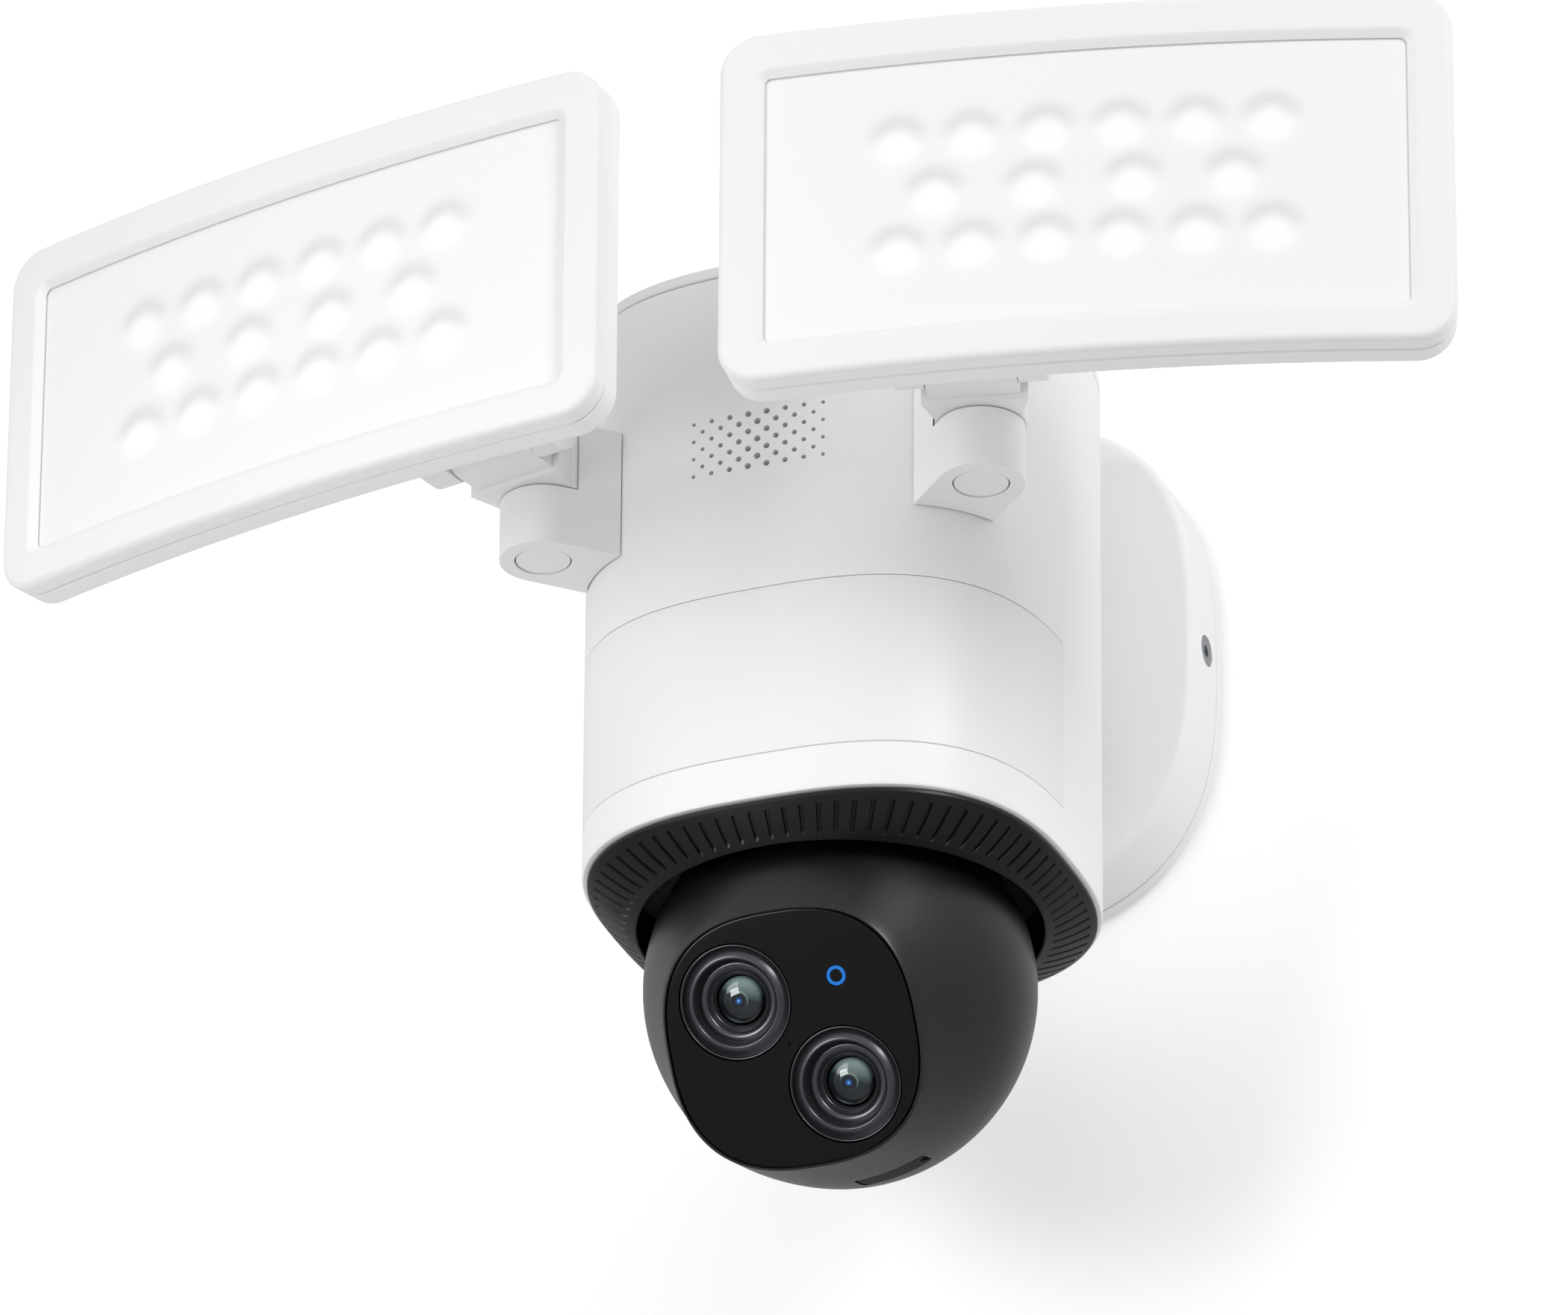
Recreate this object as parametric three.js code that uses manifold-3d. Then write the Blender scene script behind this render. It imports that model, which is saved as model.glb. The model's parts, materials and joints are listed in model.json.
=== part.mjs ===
// Floodlight security camera: a wall canopy carries a tall body with two hinged lamp heads
// and, under a grooved hood, a ball camera that pans and tilts.
// Millimetres. Origin at the centre of the wall bracket's back face, front towards -Y, +Z up.
import * as THREE from "three";
import { mergeVertices } from "three/addons/utils/BufferGeometryUtils.js";
import Module from "manifold-3d";

const wasm = await Module();
wasm.setup();

// ---- driving dimensions -------------------------------------------------------------
const gap = 0.3; // between faces that seat on each other
const runGap = 0.35; // round a moving piece
const past = 1; // how far a cutting tool runs past the face it cuts

// canopy on the wall
const canopyHalf = 61.8;
const canopyExponent = 2.87;
const canopyFaceY = -21.3;
const canopyWall = 2.4;
const canopyFillet = 1.8;
const canopySides = 36;
const gasketThickness = 1.5;
const gasketInset = 1.5;
const ringWidth = 6;
const rearRingEndY = -4.6;
const neckRadius = 30;
const neckLength = 3.37;
const neckBore = 11;
const neckWall = 2.4;

// wall bracket
const bracketLength = 104;
const bracketHeight = 34;
const bracketThickness = 2.2;
const boxScrewSpacing = 88.9;
const boxScrewSlot = 5;
const boxScrewTravel = 6.4;
const tabReach = 14;
const tabHalf = 8;
const wireHoleRadius = 7;
const wireHoleX = 20;
const lockScrewY = -11.5;
const lockHeadRadius = 3.4;
const lockShankRadius = 1.8;

// ball camera: the lenses set the face plate, and the plate sets the ball
const lensHoleRadius = 12.6;
const lensGap = 4.9;
const lensMiddle = [-0.75, -1.05];
const lensGlassRadius = 5.2;
const barrelLength = 17;
const plateMarginW = 4.76;
const plateMarginH = 4.36;
const plateExponent = 2.6;
const plateShift = -5.45;
const plateThickness = 1.4;
const plateRim = 0.9;
const statusRadius = 2.15;
const ballShoulder = 15.2;
const faceCut = 5.5;
const ballWall = 2.4;
const ballBelowBody = 22.5;
const ballForward = 1.33;
const ballTiltRest = 32;
const ballSplit = 15;
const ballSides = 32;
const hollowSides = 24;
const tiltUp = 15;
const tiltDown = 45;
const lensStep = ((2 * lensHoleRadius + lensGap) * Math.SQRT1_2) / 2;
const plateHalfW = lensStep + lensHoleRadius + plateMarginW;
const plateHalfH = lensStep + lensHoleRadius + plateMarginH;
const ballRadius = plateHalfW + ballShoulder;
const plateDepth = ballRadius - faceCut;
const lensPlaces = {
  upper: [lensMiddle[0] - lensStep, lensMiddle[1] + lensStep],
  lower: [lensMiddle[0] + lensStep, lensMiddle[1] - lensStep],
};
const statusPlace = [plateHalfW - 15.6, plateHalfH - 15.8 + plateShift];

// body
const bodyHalf = ballRadius + 10.8;
const bodyExponent = 2.743;
const bodyWall = 3;
const bodyTop = 49.8;
const bodyBottom = -84.1;
const capThickness = 3;
const capBevel = 0.9;
const bodySides = 40;

// sensor window round the front
const windowBottom = bodyBottom + 10.4;
const windowDepth = 1.5;
const windowReach = 6.7;
const sensorAngles = { centre: -90, right: -38, left: -142 };
const sensorRadius = 4.6;
const sensorAboveDeck = 6.4;
const windowAboveSensor = 12.4;

// speaker grille
const grilleZ = 4.3;
const grilleColumns = 15;
const grillePitchX = 2.17;
const grillePitchZ = 4.33;
const grilleHoleMid = 0.78;
const grilleHoleEdge = 0.45;
const speakerRadius = 17;
const magnetRadius = 10;
const boardThickness = 1.6;

// rubber service flap under the ball
const flapBelowFace = 70.5;
const flapAside = 12.5;
const flapHalfL = 7.8;
const flapHalfW = 3.6;
const flapThickness = 1.4;
const notchHalf = 1.6;

// hood under the body
const hoodInset = 1.13;
const hoodEdge = 1.2;
const hoodLipRadius = ballRadius + 1.5;
const hoodLipHeight = 1.5;
const hoodDrop = 7.8;
const hoodSpigot = 6;
const hoodSides = 40;

// pan and tilt drive
const yokeX = ballRadius - 14.2;
const yokeThickness = 4;
const yokeHalfY = 5.5;
const axleRadius = 3;
const hubRadius = 10;
const bearingWidth = 3.8;
const deckThickness = 3;
const carrierRadius = 34;
const gearModule = 1.25;
const panGearTeeth = 30;
const panPinionTeeth = 10;
const tiltModule = 1;
const tiltGearTeeth = 24;
const tiltPinionTeeth = 8;
const tiltGearWidth = 4;
const meshGap = 0.35;
const panShaftRadius = 1.5;
const tiltShaftRadius = 1;
const panMotorRadius = 11.5;
const panMotorHeight = 14;
const tiltMotorRadius = 6.5;
const hangerX = 19.4;
const hangerThickness = 2;

// lamp arms
const armOut = 13.3; // body face to swivel axis, along the 45 degree diagonal
const armNoseRadius = 9.7;
const armBottom = -15.55;
const armHeight = 30.8;
const notchAbove = 14.2;
const notchRadius = 10.5;
const plugRadius = 6.05;
const plugDepth = 3;
const spigotRadius = 4;
const lampYaw = 13;

// lamp tilt hinge
const tiltPinForward = 18.5;
const tiltPinZ = armBottom + 22;
const tiltPinRadius = 2;
const earRadius = 6.6;
const earInner = 10.4;
const earOuter = 16.85;
const knuckleHalf = earInner - gap;
const knuckleFlare = 11.8;
const knuckleRoot = knuckleHalf - 1.5;
const bracketPlate = 3;

// lamp heads
const lampHalfW = 80.4;
const lampHalfH = 42.95;
const lampCorner = 9;
const lampBend = 596;
const lampForward = tiltPinForward + 40.2;
const lampOutboard = lampHalfW - 51;
const lampZ = tiltPinZ + 20.25;
const bezelDepth = 5;
const bezelEdge = 1.6;
const lampDepth = 12;
const lampBackEdge = 2.4;
const shellWall = 2;
const windowHalfW = lampHalfW - 10.1;
const windowHalfH = lampHalfH - 10.25;
const windowShift = -0.8;
const diffuserDepth = 1.9;
const diffuserThickness = 1.8;
const diffuserRebate = 2.2;
const ledPitchX = 16.3;
const ledPitchZ = 13.5;
const ledDomeRadius = 3.4;
const ledDomeHeight = 2.4;
const ledBoardDepth = bezelDepth + 2.2;
const ledBoardThickness = 1.4;
const humpDepth = 8;
const humpHalfW = 30;
const humpHalfH = 18;
const humpExponent = 5;
const humpZ = tiltPinZ + 10.6;

// ---- derived places -----------------------------------------------------------------
const bodyCentreY = canopyFaceY - neckLength - bodyHalf;
const bodyFront = bodyCentreY - bodyHalf;
const bodyBack = bodyCentreY + bodyHalf;
const ballAxisY = bodyCentreY - ballForward;
const ballZ = bodyBottom - ballBelowBody;
const armReach = bodyHalf * Math.SQRT2 * 2 ** (-1 / bodyExponent) + armOut;
const swivelX = armReach * Math.SQRT1_2;
const swivelY = bodyCentreY - armReach * Math.SQRT1_2;
const chassisTop = ballZ + ballRadius + 11.8;
const sensorZ = chassisTop + sensorAboveDeck;
const windowTop = sensorZ + windowAboveSensor;
const chassisBottom = chassisTop - deckThickness;
const carrierTop = chassisBottom - deckThickness;
const carrierBottom = carrierTop - deckThickness;
const panPinionY = ballAxisY + (gearModule * (panGearTeeth + panPinionTeeth)) / 2 + meshGap;
const tiltPinionZ = ballZ + (tiltModule * (tiltGearTeeth + tiltPinionTeeth)) / 2 + meshGap;
const tiltGearStart = -yokeX + yokeThickness / 2 + gap;
const tiltGearEnd = tiltGearStart + tiltGearWidth;

// ---- shapes -------------------------------------------------------------------------
const rad = THREE.MathUtils.degToRad;
const vec = (x, y, z) => new THREE.Vector3(x, y, z);

function squircle(halfX, halfY, exponent, count) {
  return Array.from({ length: count }, (_, i) => {
    const a = (2 * Math.PI * i) / count;
    const c = Math.cos(a);
    const s = Math.sin(a);
    return [
      halfX * Math.sign(c) * Math.abs(c) ** (2 / exponent),
      halfY * Math.sign(s) * Math.abs(s) ** (2 / exponent),
    ];
  });
}

function box(x0, x1, y0, y1, z0, z1) {
  const g = new THREE.BoxGeometry(x1 - x0, y1 - y0, z1 - z0);
  return g.translate((x0 + x1) / 2, (y0 + y1) / 2, (z0 + z1) / 2);
}

// A cylinder or cone along an axis, from one coordinate to the other.
function rod(axis, radius, from, to, across = [0, 0], sides = 24, endRadius = radius) {
  const g = new THREE.CylinderGeometry(endRadius, radius, to - from, sides);
  const mid = (from + to) / 2;
  if (axis === "z") return g.rotateX(Math.PI / 2).translate(across[0], across[1], mid);
  if (axis === "x") return g.rotateZ(-Math.PI / 2).translate(mid, across[0], across[1]);
  return g.translate(across[0], mid, across[1]);
}

function ball(radius, at, across, down) {
  return new THREE.SphereGeometry(radius, across, down).translate(...at);
}

// A closed skin over rings of equal count: ends capped, or joined when the loop closes.
function loft(rings, closes = false) {
  const n = rings[0].length;
  const points = rings.flat();
  const faces = [];
  const spans = closes ? rings.length : rings.length - 1;
  for (let k = 0; k < spans; k++) {
    const a = k * n;
    const b = ((k + 1) % rings.length) * n;
    for (let i = 0; i < n; i++) {
      const j = (i + 1) % n;
      faces.push(a + i, a + j, b + j, a + i, b + j, b + i);
    }
  }
  if (!closes) {
    for (const [start, flip] of [[0, true], [(rings.length - 1) * n, false]]) {
      const middle = points.length;
      const sum = vec(0, 0, 0);
      for (let i = 0; i < n; i++) sum.add(points[start + i]);
      points.push(sum.divideScalar(n));
      for (let i = 0; i < n; i++) {
        const j = (i + 1) % n;
        if (flip) faces.push(middle, start + j, start + i);
        else faces.push(middle, start + i, start + j);
      }
    }
  }
  let volume = 0;
  for (let i = 0; i < faces.length; i += 3) {
    const [p, q, r] = [points[faces[i]], points[faces[i + 1]], points[faces[i + 2]]];
    volume += p.dot(q.clone().cross(r));
  }
  if (volume < 0) faces.reverse();
  const g = new THREE.BufferGeometry().setFromPoints(points);
  return g.setIndex(faces);
}

// A straight prism over a plan outline.
function prism(outline, z0, z1) {
  const shape = new THREE.Shape(outline.map(([x, y]) => new THREE.Vector2(x, y)));
  const g = new THREE.ExtrudeGeometry(shape, { depth: z1 - z0, bevelEnabled: false });
  return g.translate(0, 0, z0);
}

// Takes a prism's plan from XY into YZ, so that its length runs along X.
const standAlongX = new THREE.Matrix4().set(0, 0, 1, 0, 1, 0, 0, 0, 0, 1, 0, 0, 0, 0, 0, 1);

// ---- booleans -----------------------------------------------------------------------
function toSolid(geometry) {
  const bare = geometry.index ? geometry.toNonIndexed() : geometry.clone();
  bare.deleteAttribute("normal");
  bare.deleteAttribute("uv");
  const merged = mergeVertices(bare, 1e-4);
  return new wasm.Manifold(
    new wasm.Mesh({
      numProp: 3,
      vertProperties: merged.attributes.position.array,
      triVerts: new Uint32Array(merged.index.array),
    }),
  );
}

function toGeometry(solid) {
  const mesh = solid.getMesh();
  const g = new THREE.BufferGeometry();
  g.setAttribute("position", new THREE.BufferAttribute(mesh.vertProperties, 3));
  g.setIndex(new THREE.BufferAttribute(mesh.triVerts, 1));
  g.computeVertexNormals();
  return g;
}

function cut(base, ...tools) {
  return toGeometry(tools.reduce((s, t) => s.subtract(toSolid(t)), toSolid(base)));
}

function join(base, ...more) {
  return toGeometry(more.reduce((s, t) => s.add(toSolid(t)), toSolid(base)));
}

function common(a, b) {
  return toGeometry(toSolid(a).intersect(toSolid(b)));
}

// ---- finishes -----------------------------------------------------------------------
const finishes = {
  white: new THREE.MeshStandardMaterial({ color: 0xeef0f1, roughness: 0.5 }),
  windowWhite: new THREE.MeshStandardMaterial({ color: 0xe6e8ea, roughness: 0.4 }),
  diffuser: new THREE.MeshStandardMaterial({ color: 0xf8f9fa, roughness: 0.6 }),
  charcoal: new THREE.MeshStandardMaterial({ color: 0x2a2c2f, roughness: 0.5 }),
  gloss: new THREE.MeshStandardMaterial({ color: 0x0c0d0f, roughness: 0.12 }),
  rubber: new THREE.MeshStandardMaterial({ color: 0x303234, roughness: 0.9 }),
  glass: new THREE.MeshStandardMaterial({ color: 0x1a2a33, roughness: 0.05 }),
  led: new THREE.MeshStandardMaterial({ color: 0x1e78dc, roughness: 0.4 }),
  steel: new THREE.MeshStandardMaterial({ color: 0xb8bcc0, roughness: 0.35, metalness: 1 }),
  board: new THREE.MeshStandardMaterial({ color: 0x1c5a3a, roughness: 0.6 }),
  aluminium: new THREE.MeshStandardMaterial({ color: 0xc8ccd0, roughness: 0.4, metalness: 1 }),
  nylon: new THREE.MeshStandardMaterial({ color: 0xe8e4d8, roughness: 0.5 }),
};

const camera = new THREE.Group();

function add(name, geometry, finish, parent = camera) {
  const mesh = new THREE.Mesh(geometry, finishes[finish]);
  mesh.name = name;
  parent.add(mesh);
  return mesh;
}

// ---- wall side: bracket, gasket, ring, canopy, locking screws, neck -------------------
const wallRing = (inset, y) =>
  squircle(canopyHalf - inset, canopyHalf - inset, canopyExponent, canopySides).map(([x, z]) => vec(x, y, z));

function wallBracket() {
  const halfL = bracketLength / 2;
  const halfH = bracketHeight / 2;
  const strap = box(-halfL, halfL, -bracketThickness, 0, -halfH, halfH);
  const tabs = [-1, 1].map((side) => {
    const x0 = side > 0 ? halfL - bracketThickness : -halfL;
    const front = -tabReach - bracketThickness;
    return box(x0, x0 + bracketThickness, front, -bracketThickness / 2, -tabHalf, tabHalf);
  });
  const slots = [-1, 1].map((side) => {
    const x = (side * boxScrewSpacing) / 2;
    const halfSlot = boxScrewTravel / 2;
    return box(x - halfSlot, x + halfSlot, -bracketThickness - past, past, -boxScrewSlot / 2, boxScrewSlot / 2);
  });
  const screwHoles = rod("x", lockShankRadius + gap, -halfL - past, halfL + past, [lockScrewY, 0], 12);
  const wireHoles = [-1, 1].map((side) =>
    rod("y", wireHoleRadius, -bracketThickness - past, past, [side * wireHoleX, 0], 16),
  );
  return cut(join(strap, ...tabs), ...slots, screwHoles, ...wireHoles);
}

// A ring that follows the canopy's outline, between two distances from the wall.
function canopyRing(insetOut, insetIn, back, front) {
  const corners = [[insetOut, back], [insetOut, front], [insetIn, front], [insetIn, back]];
  return loft(corners.map(([inset, y]) => wallRing(inset, y)), true);
}

function baseCanopy() {
  const backY = rearRingEndY - gap;
  const outer = loft([
    wallRing(0, backY),
    wallRing(0, canopyFaceY + canopyFillet),
    wallRing(canopyFillet * 0.3, canopyFaceY + canopyFillet * 0.3),
    wallRing(canopyFillet, canopyFaceY),
  ]);
  const inner = loft([wallRing(canopyWall, backY + past), wallRing(canopyWall, canopyFaceY + canopyWall)]);
  const across = canopyHalf + past;
  const screwHoles = rod("x", lockHeadRadius + gap, -across, across, [lockScrewY, 0], 16);
  const neckHole = rod("y", neckBore + neckWall + 2 * gap, canopyFaceY - past, canopyFaceY + canopyWall + past);
  return cut(outer, inner, screwHoles, neckHole);
}

function lockingScrew(side) {
  const outside = canopyHalf - 0.2;
  const underHead = outside - canopyWall;
  const tip = bracketLength / 2 - bracketThickness - 4;
  const head = rod("x", lockHeadRadius, underHead, outside, [lockScrewY, 0], 16);
  const shank = rod("x", lockShankRadius, tip, underHead + 0.2, [lockScrewY, 0], 12);
  const drive = rod("x", lockShankRadius - gap, outside - canopyWall / 2, outside + past, [lockScrewY, 0], 6);
  const screw = cut(join(head, shank), drive);
  return side > 0 ? screw : screw.rotateZ(Math.PI).translate(0, 2 * lockScrewY, 0);
}

const bodyPlan = (half, sides) =>
  squircle(half, half, bodyExponent, sides).map(([x, y]) => [x, y + bodyCentreY]);

const bodyRing = (inset, z) =>
  bodyPlan(bodyHalf - inset, bodySides).map(([x, y]) => vec(x, y, z));

const bodyEnvelope = (grow) => loft([bodyRing(-grow, bodyBottom - 20), bodyRing(-grow, bodyTop + 20)]);

function wallNeck() {
  const front = bodyBack - 13.5;
  const inside = canopyFaceY + canopyWall + 6;
  const collar = rod("y", neckRadius, front, canopyFaceY - gap, [0, 0], 32);
  const spigot = rod("y", neckBore + neckWall, canopyFaceY - past, inside, [0, 0], 24);
  const bore = rod("y", neckBore, front - past, inside + past, [0, 0], 24);
  return cut(join(collar, spigot), bore, bodyEnvelope(gap));
}

function cableGland() {
  const inner = bodyBack - bodyWall;
  const flangeStart = inner - 5;
  const tailRadius = neckBore - 1;
  const flange = rod("y", tailRadius + 4, flangeStart, inner - 4 * gap, [0, 0], 20);
  const tail = rod("y", tailRadius, flangeStart + past, canopyFaceY + 3, [0, 0], 20);
  const wireBore = rod("y", 4, flangeStart - past, canopyFaceY + 3 + past, [0, 0], 16);
  return cut(join(flange, tail), wireBore);
}

// ---- body: shell, cap, sensor window, grille ------------------------------------------
function windowBand(insetOut, insetIn, shrink) {
  const z0 = windowBottom + shrink;
  const z1 = windowTop - shrink;
  const corners = [[insetOut, z0], [insetOut, z1], [insetIn, z1], [insetIn, z0]];
  const band = loft(corners.map(([inset, z]) => bodyRing(inset, z)), true);
  const side = bodyHalf + 5;
  const back = bodyCentreY - windowReach - shrink;
  return common(band, box(-side, side, bodyFront - 5, back, z0 - past, z1 + past));
}

function grilleHoles() {
  const holes = [];
  const middle = (grilleColumns - 1) / 2;
  for (let column = 0; column < grilleColumns; column++) {
    const rows = column % 2 === 0 ? 4 : 3;
    const fromMiddle = Math.abs(column - middle) / middle;
    const radius = THREE.MathUtils.lerp(grilleHoleMid, grilleHoleEdge, fromMiddle);
    for (let row = 0; row < rows; row++) {
      const x = (column - middle) * grillePitchX;
      const z = grilleZ + (row - (rows - 1) / 2) * grillePitchZ;
      holes.push(rod("y", radius, bodyFront - past, bodyFront + bodyWall + past, [x, z], 6));
    }
  }
  return holes;
}

// The same rod at each of the sensors' places, pointing out from the body's axis.
function sensorRods(radius, from, to) {
  return Object.entries(sensorAngles).map(([label, angle]) => {
    const at = rod("x", radius, from, to, [0, 0], 16).rotateZ(rad(angle));
    return [label, at.translate(0, bodyCentreY, sensorZ)];
  });
}

function bodyShell() {
  const z1 = bodyTop - capThickness - gap;
  const corners = [[0, bodyBottom], [0, z1], [bodyWall, z1], [bodyWall, bodyBottom]];
  const tube = loft(corners.map(([inset, z]) => bodyRing(inset, z)), true);
  const recess = windowBand(-2, windowDepth + gap, 0);
  const cableHole = rod("y", neckBore - 1 + gap, bodyBack - bodyWall - 5, bodyBack + past, [0, 0], 20);
  const eyes = sensorRods(sensorRadius + gap, bodyHalf - 16, bodyHalf + 6).map(([, eye]) => eye);
  return cut(tube, recess, cableHole, ...eyes, ...grilleHoles());
}

function topCap() {
  const z0 = bodyTop - capThickness;
  const lid = loft([bodyRing(0, z0), bodyRing(0, bodyTop - capBevel), bodyRing(capBevel, bodyTop)]);
  const plug = loft([bodyRing(bodyWall + gap, z0 - 4), bodyRing(bodyWall + gap, z0 + 0.5)]);
  const hollow = loft([bodyRing(2 * bodyWall, z0 - 4 - past), bodyRing(2 * bodyWall, z0)]);
  return cut(join(lid, plug), hollow);
}

function hoodRing() {
  const top = bodyBottom - gap;
  const plan = (half, z) => bodyPlan(half, hoodSides).map(([x, y]) => vec(x, y, z));
  const round = (radius, z) => squircle(radius, radius, 2, hoodSides).map(([x, y]) => vec(x, y + ballAxisY, z));
  const flange = bodyHalf - hoodInset;
  const spigot = bodyHalf - bodyWall - gap;
  return loft(
    [
      plan(flange, top),
      plan(flange, top - hoodEdge),
      round(hoodLipRadius, top - hoodDrop),
      round(hoodLipRadius, top - hoodDrop + hoodLipHeight),
      round(hoodLipRadius + 1.6, top + hoodSpigot),
      plan(spigot, top + hoodSpigot),
      plan(spigot, top),
    ],
    true,
  );
}

function chassis() {
  const deck = loft([bodyRing(bodyWall + gap, chassisBottom), bodyRing(bodyWall + gap, chassisTop)]);
  const z0 = chassisBottom - past;
  const z1 = chassisTop + past;
  const hubHole = rod("z", hubRadius + bearingWidth + 2 * gap, z0, z1, [0, ballAxisY], 28);
  const shaftHole = rod("z", 2 * panShaftRadius, z0, z1, [0, panPinionY], 16);
  const wireSlot = box(20 - bodyHalf, 32 - bodyHalf, ballAxisY + 20, ballAxisY + 30, z0, z1);
  return cut(deck, hubHole, shaftHole, wireSlot);
}

// ---- electronics in the body ----------------------------------------------------------
function speaker() {
  const front = bodyFront + bodyWall + 1.6;
  const frame = rod("y", speakerRadius, front, front + 4, [0, grilleZ], 28);
  const magnet = rod("y", magnetRadius, front + 3.5, front + 11, [0, grilleZ], 20);
  const cone = rod("y", speakerRadius - 3.4, front - past, front + 2, [0, grilleZ], 20, 3);
  return cut(join(frame, magnet), cone);
}

function sensorBoard() {
  const z0 = chassisTop + gap;
  const z1 = z0 + boardThickness;
  const disc = rod("z", bodyHalf - 12, z0, z1, [0, bodyCentreY], 36);
  const inner = rod("z", bodyHalf - 26, z0 - past, z1 + past, [0, bodyCentreY], 28);
  const back = box(-bodyHalf, bodyHalf, bodyCentreY - 4, bodyBack, z0 - past, z1 + past);
  return cut(disc, inner, back);
}

// An upright board with blocks on its front: each [x, z, half width, half height, depth].
function circuitBoard(halfX, y, blocks) {
  const sheet = box(-halfX, halfX, y, y + boardThickness, chassisTop + 21.6, bodyTop - capThickness - 4.8);
  return join(sheet, ...blocks.map(([x, z, w, h, d]) => box(x - w, x + w, y - d, y + 0.2, z - h, z + h)));
}

// ---- lamp arms ------------------------------------------------------------------------
function armOutline(radius) {
  const turn = 24;
  const points = [[-armReach * 0.55, -radius]];
  for (let i = 0; i <= turn; i++) {
    const a = -Math.PI / 2 + (Math.PI * i) / turn;
    points.push([radius * Math.cos(a), radius * Math.sin(a)]);
  }
  points.push([-armReach * 0.55, radius]);
  return points;
}

function lampArm(side) {
  const top = armBottom + armHeight;
  const floor = armBottom + notchAbove;
  const bar = prism(armOutline(armNoseRadius), armBottom, top);
  const notch = rod("z", notchRadius, floor, top + past, [0, 0], 32);
  const front = box(0, 2 * armNoseRadius, -2 * armNoseRadius, 2 * armNoseRadius, floor, top + past);
  const plugBore = rod("z", plugRadius + gap, armBottom - past, armBottom + plugDepth, [0, 0], 24);
  const pinBore = rod("z", spigotRadius + runGap, armBottom + plugDepth + 1.5, floor + past, [0, 0], 20);
  const shaped = cut(bar, notch, front, plugBore, pinBore);
  shaped.rotateZ(rad(side > 0 ? -45 : -135)).translate(side * swivelX, swivelY, 0);
  return cut(shaped, bodyEnvelope(gap));
}

function armPlug() {
  return rod("z", plugRadius, armBottom, armBottom + plugDepth - gap, [0, 0], 24);
}

function swivelKnuckle() {
  const noseRadius = earRadius - gap;
  const z0 = armBottom + notchAbove + gap;
  const z1 = tiltPinZ + noseRadius;
  const flareEnd = tiltPinForward - earRadius - 0.6;
  const axis = [-tiltPinForward, tiltPinZ];
  const hub = rod("z", notchRadius - runGap, z0, z1, [0, 0], 32);
  const plan = [[-knuckleRoot, 0], [knuckleRoot, 0], [knuckleFlare, -flareEnd], [-knuckleFlare, -flareEnd]];
  const flare = prism(plan, z0, z1);
  const tongue = box(-knuckleHalf, knuckleHalf, -tiltPinForward, -flareEnd + past, tiltPinZ - noseRadius, z1);
  const nose = rod("x", noseRadius, -knuckleHalf, knuckleHalf, axis, 24);
  const pinBore = rod("x", tiltPinRadius + gap, -earOuter, earOuter, axis, 16);
  const spigot = rod("z", spigotRadius, armBottom + plugDepth + 2, z0 + past, [0, 0], 20);
  return cut(join(hub, flare, tongue, nose, spigot), pinBore);
}

function hingePin() {
  return rod("x", tiltPinRadius, -earOuter + 0.4, earOuter - 0.4, [-tiltPinForward, tiltPinZ], 16);
}

// ---- lamp heads -------------------------------------------------------------------------
// A place on the bent lamp: across from its middle, up from its middle, and back from its face.
function onLamp(side, across, up, depth) {
  const radius = lampBend - depth;
  const angle = across / lampBend;
  return vec(
    side * lampOutboard + radius * Math.sin(angle),
    -lampForward + lampBend - radius * Math.cos(angle),
    lampZ + up,
  );
}

// A bent plate with rounded corners, built from upright sections across its width.
function bentPlate(side, plate) {
  const { halfW, halfH, front, back, corner = 0, shift = 0, frontEdge = 0.01, backEdge = 0.01 } = plate;
  const arcSteps = corner > 0 ? 4 : 0;
  const flatSteps = 4;
  const half = [];
  for (let i = 0; i <= arcSteps; i++) {
    const a = (Math.PI / 2) * (arcSteps ? i / arcSteps : 1);
    half.push([halfW - corner + corner * Math.cos(a), halfH - corner + corner * Math.sin(a)]);
  }
  for (let i = 1; i <= flatSteps; i++) half.push([(halfW - corner) * (1 - i / flatSteps), halfH]);
  const otherHalf = half.slice(0, -1).map(([across, h]) => [-across, h]);
  const section = ([across, h]) => {
    const edgeness = Math.max(0, 1 - (halfW - Math.abs(across)) / Math.max(frontEdge, backEdge));
    const f = front + frontEdge * edgeness;
    const b = back - backEdge * edgeness;
    const fe = frontEdge * (1 - edgeness) + 0.005;
    const be = backEdge * (1 - edgeness) + 0.005;
    const upper = [[h - fe, f], [h, f + fe], [h, b - be], [h - be, b]];
    const lower = upper.map(([up, depth]) => [-up, depth]).reverse();
    return [...upper, ...lower].map(([up, depth]) => onLamp(side, across, up + shift, depth));
  };
  return loft([...half, ...otherHalf.reverse()].map(section));
}

function lampBezel(side) {
  const outline = { halfW: lampHalfW, halfH: lampHalfH, corner: lampCorner };
  const frame = bentPlate(side, { ...outline, front: 0, back: bezelDepth, frontEdge: bezelEdge });
  const window = { halfW: windowHalfW, halfH: windowHalfH, shift: windowShift };
  const opening = bentPlate(side, { ...window, front: -past, back: bezelDepth + past });
  const seat = diffuserOutline(0);
  const rebate = bentPlate(side, { ...seat, front: diffuserDepth - gap, back: bezelDepth + past });
  return cut(frame, opening, rebate);
}

function diffuserOutline(shrink) {
  const grow = diffuserRebate - shrink;
  return { halfW: windowHalfW + grow, halfH: windowHalfH + grow, shift: windowShift };
}

function lampDiffuser(side) {
  const back = diffuserDepth + diffuserThickness;
  return bentPlate(side, { ...diffuserOutline(gap), front: diffuserDepth, back });
}

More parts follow.
